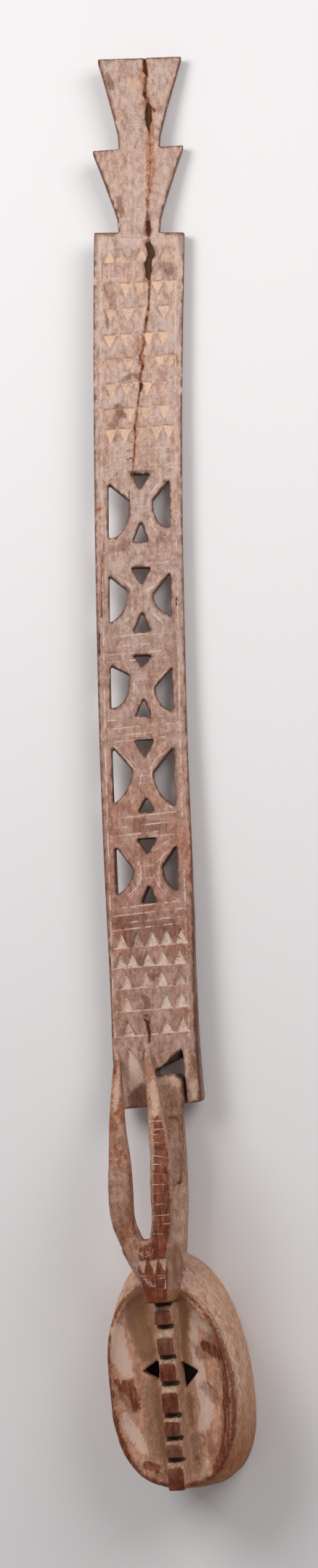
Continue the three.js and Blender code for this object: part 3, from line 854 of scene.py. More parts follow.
@dataclass
class Plank:
    """The long board: its chips, scored lines, split, worn places and old damage."""

    foot: float = 529.0
    start: float = 612.0
    front_heights: tuple[float, float] = (36, 56)
    wall_heights: tuple[float, float] = (21, 36)
    sunken_heights: tuple[float, float] = (37, 48.9)
    wall_gap: float = 1.7
    chip_half: float = 9.0
    down_height: float = 19.5
    top_height: float = 18.0
    up_height: float = 18.5
    upper_tilt: float = math.radians(4)
    lower_tilt: float = math.radians(2)
    score_width: float = 1.9
    score_depth: float = 0.45
    row_left: float = -50
    row_right: float = 46
    split_depth: float = 3.2
    damage_depth: float = 1.6
    ragged: float = 1.3
    down_rows: Rows = (
        (1652, (-41, -19.5, 0.5, 24.5, 42)), (1617, (-40, -16, 7, 33)), (1580.5, (-41, -18.5, 12, 32.5)),
        (1547, (-38.5, -16, 12, 29, 42)), (1512, (-39, -18, 9, 29)), (1477, (-41, -14, 8, 33)),
        (1449, (-40, -20.5, 3, 22.5, 39.5)),
    )
    top_row: tuple[float, tuple[float, ...]] = (1682, (-41.5, -25.5, 2.5, 36.5))
    up_rows: Rows = (
        (741.5, (-39, -17, 3.5, 22.5, 42)), (715, (-40, -25, -3.5, 16.5, 39)), (687, (-33.5, -7, 15, 39)),
        (657, (-34, 19, 40)), (624, (-33, 19, 41)),
    )
    bands: tuple[tuple[float, float, float], ...] = (
        (1419.6, 3, 40), (1408.5, -52, 46), (1396.4, -52, 46), (1391, -30, 46), (1382, -52, -18),
        (1283, 0, 47), (1272.7, -10, 47), (1261, 8, 47), (1164, -40, 46), (1150.6, -52, 10),
        (1139.7, -52, 30), (1129.8, -48, 46), (1050.6, -50, 44), (1039, -52, 46), (1029, -50, 46),
        (1021, -52, 48), (917.8, -50, 40), (905, -40, 44), (894, -48, 20), (888, -50, 46), (797, -52, 46),
        (787, -52, 46), (776.4, -30, 46), (767.6, -52, 40),
    )
    sides: Lines = (((-53, 620), (-52.5, 1160), (-53.5, 1712)), ((49, 620), (48.5, 1160), (49.5, 1712)))
    swipes: Lines = (
        ((11, 1886, 0.4), (20, 1908, 1.6), (27, 1931, 0.6)),
        ((23, 1886, 0.4), (33, 1908, 1.8), (41, 1931, 0.6)),
        ((39, 1822, 0.4), (30, 1803, 1.8), (20, 1776, 0.4)),
        ((33, 1825, 0.4), (24, 1806, 1.4), (19, 1798, 0.4)),
        ((-21, 1815, 0.6), (-13, 1796, 1.6), (-7, 1778, 0.4)),
        ((-29, 1812, 0.4), (-22, 1796, 1.2), (-17, 1784, 0.4)),
        ((-13, 1825, 0.4), (-5, 1800, 1.4), (1, 1776, 0.4)), ((44, 1812, 0.4), (37, 1794, 1.2)),
    )
    vee: Line = ((-19.6, 1941), (-6.3, 1906), (2, 1941))
    finial_lines: Lines = (
        ((-22.5, 1862.8), (6.9, 1863.6)), ((-12.3, 1844), (-12.3, 1857.6), (-2.5, 1857.6), (-2, 1844)),
        ((-21.1, 1835), (6.8, 1835.5)), ((-15.2, 1880.3), (2.5, 1881.7)), ((-15.2, 1875.5), (2.5, 1876.6)),
        ((-13.7, 1871), (2.5, 1871.8)), ((-4.4, 1763.4), (8.2, 1764.2)), ((-4.4, 1756.8), (8.2, 1757.6)),
        ((-3.5, 1750.8), (8.2, 1751.3)), ((-3.5, 1744.8), (8.2, 1745.3)), ((-37.3, 1793), (-25.5, 1763)),
        ((-25.5, 1715), (31.6, 1713)), ((-49, 1678.4), (-49, 1659.6)), ((-49, 1678.4), (6.6, 1681.8)),
        ((-49, 1659.6), (9.5, 1661)), ((19.8, 1681.7), (47.6, 1683), (49, 1662), (19.8, 1661.4)),
    )
    strokes: Lines = (
        ((14.2, 1358), (20.8, 1367), (28.5, 1374)), ((23.5, 1369), (30.8, 1377), (38, 1381.5)),
        ((7.5, 1322), (16.3, 1310.6), (25, 1299.5)),
        ((13.8, 1322), (21.3, 1313), (28.7, 1304.8), (34, 1297)),
        ((-39, 1381), (-27.6, 1368), (-16.5, 1354)), ((-52, 1383), (-39, 1382), (-19, 1382)),
        ((8, 1224), (16, 1234), (25.3, 1242)), ((15.2, 1227.5), (25.2, 1239), (35, 1247)),
        ((12, 1196), (21, 1187.6), (33, 1175)), ((-37, 1250), (-24, 1241), (-13.5, 1229)),
        ((-10, 1203), (-18, 1186.7), (-31, 1176)), ((-12, 1097), (-13, 1074), (-18, 1054)),
        ((36, 1116), (19, 1103), (13, 1089), (14, 1070), (35, 1054)), ((9.9, 1075), (11, 1053)),
        ((-41, 1013), (-25, 995), (-14, 980)), ((-4, 977), (-9, 956), (-20, 937)),
        ((34, 1006), (15.7, 995), (9, 982), (8, 959), (22, 936), (37, 925)), ((11, 1005), (27.6, 1015.5)),
        ((-22, 875), (-14, 860), (-9, 844), (-12, 826), (-24, 813), (-39, 805)),
        ((38, 877), (20, 862), (15, 845), (15, 830), (27, 811), (41, 801)), ((8, 838), (13, 822)),
        ((10.6, 870), (27, 881)),
    )
    panels: tuple[Openings, ...] = (
        Openings(1385, 1363.5, 1319.5, 1291, 1372, (-15.5, 1348), 1296, 1376, (17, 1349), 1310),
        Openings(1255.5, 1232.5, 1195, 1168, 1245, (-19, 1224), 1180, 1249, (16.5, 1219), 1188),
        Openings(1135, 1119.5, 1077, 1051.5, 1122, (-18.5, 1109), 1063.5, 1118, (16.5, 1092), 1058),
        Openings(1020, 996.5, 942, 921.5, 1011, (-18, 980), 934, 1009, (11.5, 975), 927),
        Openings(886, 865, 823.5, 799, 878, (-20.5, 845), 811.5, 876, (19.5, 847), 813.5),
    )
    split: Lines = (
        ((7, 1972, 1.8), (8.8, 1951, 3.6), (11, 1944, 1.6), (8.5, 1930, 1.4), (7.7, 1918, 2.6),
         (12, 1908, 2.2), (13, 1895, 4.8), (13, 1881, 4.8), (12.6, 1873, 3), (15, 1860, 0.5),
         (15.5, 1806, 0.5), (13, 1794, 0.4), (14.3, 1780, 0.8), (12.2, 1768, 1), (11.5, 1748, 0.9),
         (12.2, 1739, 3), (12.6, 1724.6, 4.2), (13.2, 1714, 1), (12.6, 1705, 4.2), (15.9, 1697, 5.4),
         (17, 1691, 5.6), (14.2, 1685, 3.8), (11.7, 1677, 5.4), (13.3, 1668, 4.4), (11.9, 1661, 3.8),
         (14.5, 1653, 1.1), (13.6, 1636, 0.7), (12.9, 1621, 0.7), (12.4, 1614.5, 2), (10.7, 1608, 1.8),
         (9.9, 1601, 2.2), (9, 1593, 1.4), (8.2, 1584, 1.2), (6.2, 1577, 1.2), (7.3, 1570, 1),
         (4.8, 1557, 1.1), (0.6, 1547, 1.3), (3.1, 1542, 1.2), (4.7, 1535, 1.4), (2.2, 1525, 1.1),
         (0.5, 1518, 1.3), (2.1, 1509, 2.4), (2.1, 1503, 2), (-0.1, 1498, 1.2), (-1.3, 1488, 0.8),
         (-3.5, 1468, 0.7), (-4.7, 1458, 0.8), (-6.9, 1449.6, 1.5), (-6, 1441, 1.1), (-6.6, 1424.5, 0.9),
         (-7.8, 1411, 0.8), (-9.2, 1399, 0.7), (-10.1, 1384, 0.8)),
        ((14.7, 1902, 1.4), (21.7, 1893, 1)),
        ((-7, 612, 1.4), (-5.4, 628, 2.2), (-6.4, 642, 3.2), (-9, 647, 3)),
        ((-13, 645.5, 0.6), (-7.6, 640, 3), (-6.6, 628, 1.4)),
    )
    dark: Lines = (
        ((7, 1970, 1.2), (8.8, 1951, 3.2), (11, 1944, 0.6)), ((7.7, 1920, 2.2), (9, 1914, 1.8)),
        ((12, 1906, 1.4), (13, 1895, 4.4), (13, 1881, 4.6), (12.6, 1873, 2.6), (14, 1864, 0.2)),
        ((12.2, 1737, 3), (12.6, 1724.6, 3.8), (13, 1716, 0.4)),
        ((12.6, 1706, 3.8), (15.9, 1697, 5), (17.2, 1691, 5.2), (14.2, 1685.6, 3.6), (11.7, 1677, 5.2),
         (13.3, 1668.6, 4.2), (11.9, 1661.8, 3.4), (14, 1656, 1)),
        ((12.6, 1617, 1.3), (12.4, 1613, 1.3)), ((10, 1603, 1.4), (9.4, 1598, 1.2)),
        ((4.8, 1535.4, 1), (4.6, 1534, 1)), ((2.1, 1510, 2.2), (2.1, 1503, 2), (0.5, 1499, 0.8)),
        ((-6.8, 1450, 1), (-6.4, 1447, 1.1)), ((-10.6, 1443.8, 1.4), (-10.3, 1440.4, 1.1)),
        ((-14, 1426, 1), (-10, 1430, 1)), ((-19, 1415.9, 0.6), (-13, 1417, 0.9)),
        ((-17.7, 1404.8, 0.6), (-12, 1407, 1.1)), ((-15.3, 1363, 0.6), (-15.4, 1348, 0.4)),
        ((14.7, 1902, 1), (21.7, 1893, 0.7)), ((-49, 1289, 0.1), (-50.2, 1272, 0.4), (-53.2, 1264, 0.5)),
        ((-53.7, 1227, 0.2), (-54.2, 1187, 0.8)), ((-57.5, 1166, 1), (-58.7, 1152, 1.2), (-58, 1138, 0.8)),
        ((47.4, 1212, 1), (47.4, 1203, 0.8)),
        ((-13, 645.5, 0.4), (-7.6, 640, 2.6), (-5.8, 626, 1.6), (-6.4, 614, 1)),
        ((20.2, 623.6, 0.7), (20.6, 623.6, 0.7)), ((25.5, 622.3, 0.7), (26, 622.3, 0.7)),
        ((44.3, 624, 0.6), (44.6, 624, 0.6)), ((13, 1350, 0.3), (14, 1352, 0.3)),
    )
    rust: Lines = (
        ((15.6, 1868, 5.4), (15.5, 1806, 5.8), (13.4, 1794, 5), (14, 1780, 3.4), (12.2, 1768, 2),
         (11.8, 1748, 1.4)),
        ((4, 1950, 4), (7, 1925, 3)), ((18, 1900, 3), (18, 1880, 4)), ((12.5, 1734, 4.6), (12.5, 1720, 5)),
        ((10, 1656, 4), (3.4, 1645, 3)), ((6.7, 1649, 3), (2.5, 1657, 3)),
        ((11.5, 1610, 3), (10, 1600, 4), (9, 1590, 2.6)),
        ((6.5, 1578, 3.6), (5, 1562, 4), (-1, 1562, 5), (-5, 1573, 3)),
        ((1, 1548, 4.6), (4, 1540, 4), (4.4, 1532, 3.4)), ((2, 1524, 2), (0, 1516, 2.4)),
        ((-3, 1468, 1.6), (-7, 1450, 3), (-14, 1448, 1.6), (-28, 1447.8, 1)),
        ((-6, 1441, 2.2), (-6.6, 1424, 2.4), (-8, 1411, 2), (-10, 1385, 1.6), (-13, 1368, 1.6)),
        ((-44, 1577.5, 0.4), (-21.6, 1579.8, 0.8), (4.9, 1580, 0.8), (44, 1583.5, 0.4)),
        ((-44, 1544, 0.2), (-10, 1546.4, 0.5), (20, 1548.4, 0.2)), ((-44, 1474, 0.2), (-20, 1475.8, 0.6)),
        ((-36, 1577, 3.4), (-30, 1571, 2.2)), ((-62, 1334, 3), (-53.5, 1336.5, 3.6), (-44, 1339.6, 2.6)),
        ((-51, 1275, 2), (-54, 1190, 2)), ((-63, 1290, 1.2), (-64, 1220, 1.2)),
        ((5, 1946, 4.5), (10, 1935, 3)), ((6, 1905, 4), (16, 1875, 6)),
    )
    stains: Lines = (
        ((-49, 1955, 3), (-43, 1940, 5), (-37, 1924, 4)),
        ((-28, 1514, 2.5), (-16, 1519, 4.5), (-3, 1521, 4)), ((26, 1866, 3), (21, 1872, 2.5)),
        ((-54, 1720, 3), (-36, 1719, 3)), ((36, 1719, 2), (60, 1719, 2)), ((5, 1547, 4), (0, 1538, 3)),
        ((-31, 1385, 2), (-37, 1379, 3)), ((-15, 1388, 2), (14, 1388, 2)),
        ((-12.9, 676, 2), (-6, 668, 5), (-8.6, 658, 4)), ((-2.5, 702, 2), (3.5, 699, 5), (9, 702, 2)),
        ((-46, 1500, 2), (-42, 1496, 3)), ((-30, 1477, 6), (-22, 1468, 6)),
        ((-60, 1900, 0.5), (-44, 1855, 2), (-34, 1852, 2)), ((-28, 1770, 4), (-24, 1745, 4)),
        ((20, 1600, 1), (40, 1590, 1)), ((44, 1552, 3), (52, 1540, 4)), ((-45, 1610, 2), (-43, 1585, 2)),
    )
    rubbed: Lines = (
        ((42, 603, 1.5), (44, 588, 3), (43, 568, 3)), ((46, 556, 2), (50, 536, 2)),
        ((53, 560, 1), (54, 534, 1.5)), ((4, 560, 4), (22, 562, 5), (30, 556, 4)),
        ((-27, 604, 4), (-30, 590, 6)), ((2, 594, 2), (7, 582, 3)),
        ((30, 520, 2), (31, 480, 2), (29, 430, 2)), ((-8, 560, 2), (-14, 571, 3)),
    )
    recess: Line = ((-39.8, 547.5), (-14.6, 565), (-21, 589), (-35.8, 609.5))
    # Below the recess the wood is redder and lies in shade: painted darker, partly its own tone, partly
    # painted shade.
    under_recess: Line = ((-41, 531), (-41, 545), (-14, 562), (-13, 531))
    post_marks: Lines = (
        ((11, 424.5, 1), (15, 424, 1.6), (19.5, 428, 0.8)), ((12.8, 478.5, 0.8), (13, 478.5, 0.8)),
    )
    post_lines: Lines = (
        ((32.4, 540, 0.3), (30.6, 500, 0.8), (28.3, 471.8, 0.8), (23.5, 440.5, 1), (19.7, 428.3, 1.6)),
        ((14, 518, 0.2), (10.2, 474, 0.4), (8.5, 442, 0.6), (10, 426, 1)), ((19.7, 428, 2), (10, 424, 3)),
    )
    foot_stains: Lines = (
        ((41.4, 603, 0.2), (39.4, 568, 0.7), (38, 537, 0.9)), ((58.7, 572, 3), (59.2, 553, 2)),
        ((38.7, 629, 0.3), (36.2, 610, 0.3)), ((-30, 545, 4), (-16, 556, 4)), ((52, 592, 3), (56, 575, 4)),
        ((22, 550, 2), (26, 538, 2)), ((14, 541, 1.5), (16, 535, 1.5)), ((56, 536, 3), (62, 534, 3)),
        ((-12, 604, 2), (-14, 590, 2)), ((20, 590, 2), (30, 598, 2)), ((36, 566, 2), (37, 540, 1.5)),
        ((-38, 540, 3), (-24, 534, 3)),
    )
    redder: Lines = (
        ((-30, 752, 12), (0, 760, 16), (30, 765, 12)), ((-40, 775, 8), (-10, 778, 8)),
        ((-10, 905, 10), (20, 900, 8)), ((-44, 1645, 7), (-38, 1622, 5)), ((-20, 1290, 6), (-30, 1282, 5)),
        ((24, 1674, 6), (44, 1670, 8)), ((-47, 1677, 3), (-30, 1668, 5)), ((-20, 1690, 3), (0, 1696, 3)),
        ((62, 534, 5), (61, 545, 3)), ((60, 560, 1.5), (58.5, 610, 1.5), (57.5, 660, 1)),
        ((-18, 722, 8), (0, 720, 5)), ((-35, 1465, 6), (-25, 1471, 5)), ((-37, 1453, 5), (-34, 1433, 5)),
        ((20, 1290, 5), (30, 1300, 5)),
    )
    damage: Lines = (
        ((-58.5, 1168, 2.4), (-59.5, 1152, 3), (-58.6, 1137, 2)), ((48, 1213, 1.6), (47.4, 1203, 1.4)),
        ((-61.5, 1334, 1.5), (-54, 1337, 1.4)), ((-50, 1290, 1), (-53.5, 1262, 1.4), (-54, 1190, 1.4)),
        ((33, 1375, 2), (39, 1368, 1.6)),
    )

    def chips(self) -> list[tuple[float, float, float, float]]:
        """Where the chips are.

        Returns:
            Middle of the base (u, s), height and heading of each chip.
        """
        found = []
        for rows, tilt, height, heading in (
            (self.down_rows, self.upper_tilt, self.down_height, math.pi),
            ((self.top_row,), self.upper_tilt, self.top_height, 0.0),
            (self.up_rows, self.lower_tilt, self.up_height, 0.0),
        ):
            found += [(u, s + u * math.tan(tilt), height, heading) for s, row in rows for u in row]
        return found

    def chip_patches(self) -> Lines:
        """The outline of each chip.

        Returns:
            Three corners for each, with a slightly different width.
        """
        patches = []
        for k, (u, s, height, heading) in enumerate(self.chips()):
            half = self.chip_half * (0.93 + 0.14 * random_at(np.array([[k, 3, 5]]), 2)[0])
            tip = s + height if heading == 0.0 else s - height
            patches.append(((u - half, s), (u + half, s), (u, tip)))
        return tuple(patches)

    def panel_lines(self) -> Lines:
        """The lines on the arms and waists of all the panels."""
        return tuple(line for panel in self.panels for line in panel.arms() + panel.rungs())

    def scored(self) -> Lines:
        """All the scored lines of the front.

        Returns:
            The bands, the rows' base lines, the panels' lines and the single strokes.
        """
        bands = [(s, self.upper_tilt, low, high) for s, low, high in self.bands]
        rows = [(s, self.upper_tilt) for s, _ in self.down_rows + (self.top_row,)]
        rows += [(s, self.lower_tilt) for s, _ in self.up_rows]
        bands += [(s, tilt, self.row_left, self.row_right) for s, tilt in rows]
        lines = [tuple((u, s + u * math.tan(tilt)) for u in (low, high)) for s, tilt, low, high in bands]
        return tuple(lines) + self.panel_lines() + self.sides + self.finial_lines + self.strokes

    def level(self, net: Net) -> None:
        """Fills what the solid has cut into the front, so that the fine cuts go into whole wood.

        Args:
            net: The net to fill.
        """
        board, w = net.places[:, 1] > self.start, net.places[:, 2]
        flat = flattened(net.places)
        walls = search_tree(flat[board & between(w, *self.wall_heights)])
        low = np.flatnonzero(board & between(w, *self.sunken_heights))
        filled = low[[walls.find(flat[k])[2] > self.wall_gap for k in low]]
        net.places[filled, 2] = PLANK_FRONT
        loose = np.zeros(len(net.places))
        loose[filled] = 0.5
        net.relax(loose, 4)

    def front(self, places: Points) -> Points:
        """Which places are on the board's front."""
        return (places[:, 1] > self.foot) & between(places[:, 2], *self.front_heights)

    def carve(self, net: Net, finish: bpy.types.Material) -> None:
        """Cuts the chips, the scored lines, the split and the damage into the net.

        Args:
            net: The net to carve.
            finish: Material that the trees are given.
        """
        on_front = self.front(net.places) & (net.places[:, 1] > self.start)
        flat = net.places[:, :2]
        chips = self.chips()
        seeds = bpy.data.meshes.new("chips")
        seeds.from_pydata([(u * MM, s * MM, PLANK_FRONT * MM) for u, s, _, _ in chips], [], [])
        heading = seeds.attributes.new("heading", "FLOAT", "POINT")
        heading.data.foreach_set("value", [chip[3] for chip in chips])
        cutters = run_tree(seeds, ChipTree(half=self.chip_half * MM).build(), finish)
        near = nearest(to_patches(flat, self.chip_patches())) < 3.0
        Gouge(cutters, Side.FRONT).press(net, near & on_front)
        cuts = [Cut(line, self.score_width, self.score_depth / float(LIE.share_at(np.array(line[0][1]))))
                for line in self.scored()]
        cutters = gouges(cuts, FlatFront(), finish, GrooveTree())
        near = nearest(to_lines(flat, self.scored())) < self.score_width
        Gouge(cutters, Side.FRONT).press(net, near & on_front)
        self.sink(net, self.split, self.split_depth, on_front)
        self.sink(net, self.damage, self.damage_depth, on_front)

    def sink(self, net: Net, lines: Lines, depth: float, where: Points) -> None:
        """Lowers the front along ragged lines.

        Args:
            net: The net to carve.
            lines: The lines, with their half widths.
            depth: How deep they are in the lying mask, in millimetres.
            where: Which points may be touched.
        """
        ragged = self.ragged * grain_noise(net.places, (2.5, 5, 50), 41, 2)
        share = 1.0 - smoothstep(-1.6, 1.0, nearest(to_lines(net.places[:, :2], lines)) + ragged)
        net.places[:, 2] -= np.where(where, share * depth / LIE.share_at(net.places[:, 1]), 0.0)


@dataclass
class Shell:
    """The oval face: its outer wall, dish, rim, hollow and ridge."""

    middle: float = 172
    half: float = 81.5
    down: float = 125
    up: float = 133
    crown_lean: float = 8
    chin_lean: float = 1
    lean_end: float = 1.2
    crown_powers: tuple[float, float] = (2.35, 2.0)
    chin_power: float = 2.5
    face_end: float = 310
    end: float = 345
    ridge_half: float = 15.2
    ridge_taper: float = 4.6
    ridge_heights: tuple[float, float] = (104, 142)
    ridge_foot: float = 113
    ridge_end: float = 286
    block_end: float = 283
    dish_floor: float = 100
    hollow_roof: float = 97
    hollow_share: float = 0.93
    rim_height: float = 118
    rim_share: float = 0.985
    broken_rim: Line = ((44, 282, 5), (56, 266, 6), (66, 246, 3))
    rim_wear: float = 0.9
    break_depth: float = 2.2
    mark_width: float = 1.8
    mark_depth: float = 0.5
    facets: tuple[tuple[str, float], ...] = (
        ("wall", 0.7), ("dish", 0.45), ("hollow", 1.0), ("ridge", 0.35),
    )
    chalk: Lines = (
        ((-66, 250, 7), (-66, 215, 11), (-58, 190, 7)), ((-66, 138, 5), (-56, 112, 8), (-44, 94, 5)),
        ((40, 262, 6), (32, 240, 5), (34, 190, 8), (42, 145, 9), (34, 118, 8)),
        ((46, 250, 4), (58, 240, 4)), ((32, 62, 3), (36, 75, 4)),
    )
    # Olive-brown at the crown's left and in strips beside the ridge: partly dirt, partly painted shade
    # under the horn block and beside the ridge.
    tan: Lines = (
        ((-40, 292, 14), (-38, 250, 13), (-34, 220, 13)), ((22, 288, 8), (20, 240, 7), (17, 200, 4)),
        ((-24, 180, 5), (-21, 120, 4), (-18, 70, 3)), ((20, 160, 4), (20, 120, 4)),
    )
    grey: Lines = (
        ((-52, 280, 4), (-48, 252, 5.5)), ((-36, 168, 9), (-32, 138, 9)), ((-36, 120, 9), (-32, 88, 8)),
        # The line from (-44, 216) to (-24, 208), above the left eye, is partly olive dirt, partly painted
        # shade.
        ((-28, 132, 5), (-24, 86, 4)), ((24, 104, 9), (28, 60, 9)), ((-44, 216, 5), (-24, 208, 6)),
        ((-48, 200, 2), (-46, 160, 2)), ((30, 226, 3), (38, 205, 3)),
    )
    soft: Lines = (
        ((62, 238, 6), (72, 190, 6), (72, 150, 8), (66, 110, 9), (52, 74, 10)),
        ((40, 170, 6), (54, 158, 8)), ((-76, 240, 2), (-80, 180, 2.5), (-76, 120, 4), (-60, 76, 5)),
        ((-40, 60, 8), (-20, 62, 6)), ((46, 215, 13), (56, 225, 10)), ((38, 110, 6), (44, 90, 6)),
        ((-66, 165, 8), (-54, 150, 8)), ((50, 262, 4), (60, 248, 4)),
    )
    reds: Lines = (
        ((-72, 184, 4), (-61, 176, 9), (-53, 162, 7), (-50, 144, 4)), ((-52, 199, 3), (-50, 190, 3)),
        ((46, 222, 6), (58, 214, 8), (66, 206, 3)), ((44, 172, 4), (52, 164, 4)),
        ((69, 190, 2.5), (70, 145, 2.5)), ((69, 160, 2), (66, 120, 2.5), (58, 85, 4), (46, 60, 4)),
        ((-42, 76, 5), (-30, 70, 6)), ((-73, 112, 2), (-62, 84, 3), (-48, 60, 3)),
        ((-78.5, 215, 1.2), (-79, 150, 1.5), (-73, 108, 2)),
        ((58, 258, 1.6), (68, 228, 1.6), (73, 190, 1.8), (74, 150, 2), (70, 112, 2), (60, 78, 2),
         (46, 54, 2)),
        ((-66, 150, 2), (-62, 128, 3)), ((24, 84, 2), (26, 74, 3)),
    )
    block_ends: tuple[float, ...] = (254, 215.5, 182, 142, 113, 86)
    ladder: Line = (
        (100, 270), (86, 262), (110, 254), (88, 246), (110, 238), (88, 228), (108, 220), (88, 210),
        (108, 203), (90, 192), (108, 186), (90, 175), (108, 168), (92, 158), (108, 150), (94, 141),
        (108, 134),
    )

    def share(self, flat: Points) -> Points:
        """How far out each place is.

        Args:
            flat: Rows of u and s.

        Returns:
            0 in the middle and 1 at the rim.
        """
        along = flat[:, 1] - self.middle
        up = along > 0
        reach = np.abs(along) / np.where(up, self.up, self.down)
        lean = np.where(up, self.crown_lean, self.chin_lean)
        across = flat[:, 0] + lean * np.minimum(reach, self.lean_end) * np.sign(along)
        power = np.where(up, np.where(across < 0, *self.crown_powers), self.chin_power)
        return (np.abs(across / self.half) ** power + reach**power) ** (1 / power)

    def masks(self, places: Points, facing: Points) -> dict[str, Points]:
        """Sorts the places of the face.

        Args:
            places: Rows of u, s and w.
            facing: Outward direction at each.

        Returns:
            Which are in the dish, on the outer wall, in the hollow behind and on the ridge.
        """
        u, s, w = places.T
        face = s < self.face_end
        share = self.share(places[:, :2])
        width = self.ridge_half - self.ridge_taper * smoothstep(*self.ridge_heights, w)
        ridge = face & (np.abs(u) < width) & (w > self.ridge_foot + 10 * (s < 50)) & (s < self.ridge_end)
        dish = face & (share < 1.0) & (w > self.dish_floor) & (facing[:, 2] > -0.2) & ~ridge
        inward = u * facing[:, 0] + (s - self.middle) * facing[:, 1] < -4
        hollow = face & ((share < self.hollow_share) | (inward & (share < 1.02)))
        hollow &= (w < self.hollow_roof) & ~dish
        wall = face & ~dish & ~ridge & ~hollow
        return {"dish": dish, "wall": wall, "hollow": hollow, "ridge": ridge}

    def roof(self, places: Points, facing: Points) -> Points:
        """Which places are overhead inside the shell."""
        return (self.share(places[:, :2]) < self.hollow_share) & (facing[:, 2] < -0.2)

    def carve(self, net: Net, finish: bpy.types.Material) -> None:
        """Wears the rim, breaks it at the crown, and cuts the wall's marks and shallow facets.

        Args:
            net: The net to carve.
            finish: Material that the tree is given.
        """
        facing = net.normals()
        masks = self.masks(net.places, facing)
        share = self.share(net.places[:, :2])
        rim = (net.places[:, 2] > self.rim_height) & (np.abs(share - self.rim_share) < 0.05)
        rim &= net.places[:, 1] < 300
        wear = self.rim_wear * grain_noise(net.places, (9, 14, 30), 61, 3)
        broken = line_distance(net.places[:, :2], self.broken_rim)
        broken += 7 * grain_noise(net.places, (5, 5, 5), 62, 2)
        wear -= self.break_depth * (1 - smoothstep(-3, 5, broken))
        net.places[:, 2] += np.where(rim, wear, 0.0)
        cut = Cut(spaced(self.ladder, 3.0), self.mark_width, self.mark_depth)
        cutters = gouges([cut], Drape(net, Side.RIGHT), finish, GrooveTree())
        near = masks["wall"] & (net.places[:, 0] > 20)
        near &= line_distance(net.places[:, [2, 1]], self.ladder) < 3.0
        Gouge(cutters, Side.RIGHT, 3.0).press(net, near)
        facets = grain_noise(net.places, (16, 34, 16), 63, 2)
        depth = sum(amount * masks[name] for name, amount in self.facets)
        net.places += facing * (facets * depth)[:, None]


@dataclass
class Horns:
    """The two horns and the block they rise from: their outline, scratches and paint."""

    start: float = 279.5
    end: float = 616
    block_top: float = 345
    block_margin: float = 3.5
    floor: Line = ((340, 84), (366, 68), (400, 60))
    nick_width: float = 1.5
    nick_depth: float = 0.45
    block: Line = (
        (279, 1, 17), (283, 1, 17.5), (312, -1.2, 21.8), (334, -6.5, 28), (351, -10, 32.5), (362, -9.5, 36),
    )
    nicks: Lines = (
        ((12, 501), (26, 501)), ((13, 485), (31, 482)), ((12, 469), (31, 464)), ((9, 458), (30, 456)),
        ((7, 447), (30, 443)), ((6, 433), (30, 431)), ((4, 421), (31, 422.5)), ((3, 407), (29.5, 408)),
        ((2, 394), (28, 393)), ((1, 383), (26, 382)), ((0, 371), (22, 369)), ((3, 547), (15, 548)),
        ((4, 536), (18, 534)), ((5, 524), (21, 523)), ((6, 512), (23, 511)), ((10, 495), (27, 494)),
    )
    scratches: Lines = (
        ((-48, 541), (-40, 542)), ((-46, 470), (-36, 469)), ((-48, 392), (-40, 394)),
        ((-44, 372), (-36, 370)), ((-21, 351), (-11, 342), (-1, 346), (1, 352)),
    )
    outline: Lines = (
        ((-17.1, 315.5), (-0.3, 312.9)),
        ((-1.6, 300.9), (12, 300.7), (13.4, 314.6), (-0.3, 314.4), (-1.6, 300.9)),
        ((-22, 319), (16, 317.5)),
    )
    chips: tuple[Line, ...] = (
        ((-20, 338), (-9, 338), (-15.5, 319)), ((-5.4, 338), (5.4, 338), (0.2, 319.5)),
        ((8, 338), (18, 338), (12.5, 320)),
    )
    red: Lines = (
        ((9, 352, 10), (11, 364, 10.5), (17, 389, 11), (20, 428, 10.5), (22, 465, 8.5), (19, 501, 6.5),
         (16, 514, 4)),
        ((-8, 345, 12), (4, 345, 14), (-2, 325, 20), (-1, 300, 16), (0, 286, 14)),
        ((-50, 575, 1.5), (-53, 600, 1.5)),
    )
    pale: Lines = (
        ((13, 522, 4), (9, 545, 5), (4, 562, 3)), ((-43.5, 592, 2.4), (-44, 560, 3.4), (-42, 530, 3)),
        ((-14, 348, 2.5), (-6, 349, 2)), ((-12, 312, 1.5), (-5, 306, 2)),
    )

    def mask(self, places: Points) -> Points:
        """Finds the horns and their block.

        Args:
            places: Rows of u, s and w.

        Returns:
            Which places are on them.
        """
        u, s, w = places.T
        floor = np.interp(s, *np.array(self.floor).T)
        along, middle, half = np.array(self.block).T
        beside = np.abs(u - np.interp(s, along, middle)) > np.interp(s, along, half) + self.block_margin
        return between(s, self.start, self.end) & (w > floor) & ~((s < self.block_top) & beside)

    def lines(self) -> Lines:
        """All the thin lines on the horns and the block."""
        return tuple(spaced(line) for line in self.nicks + self.scratches + self.outline)

    def carve(self, net: Net, finish: bpy.types.Material) -> None:
        """Cuts the nicks and scratches into the fronts.

        Args:
            net: The net to carve.
            finish: Material that the tree is given.
        """
        on_front = self.mask(net.places) & (net.normals()[:, 2] > 0.2)
        cuts = [Cut(line, self.nick_width, self.nick_depth) for line in self.lines()]
        cutters = gouges(cuts, Drape(net, Side.FRONT), finish, GrooveTree(wobble=0.8 * MM))
        near = nearest(to_lines(net.places[:, :2], self.lines())) < 2.5
        Gouge(cutters, Side.FRONT, 3.0).press(net, near & on_front)


def tone(red: float, green: float, blue: float) -> Points:
    """A colour given as it looks, 0 to 255, in the linear scale that light uses."""
    seen = np.array([red, green, blue]) / 255
    return np.where(seen <= 0.04045, seen / 12.92, ((seen + 0.055) / 1.055) ** 2.4)


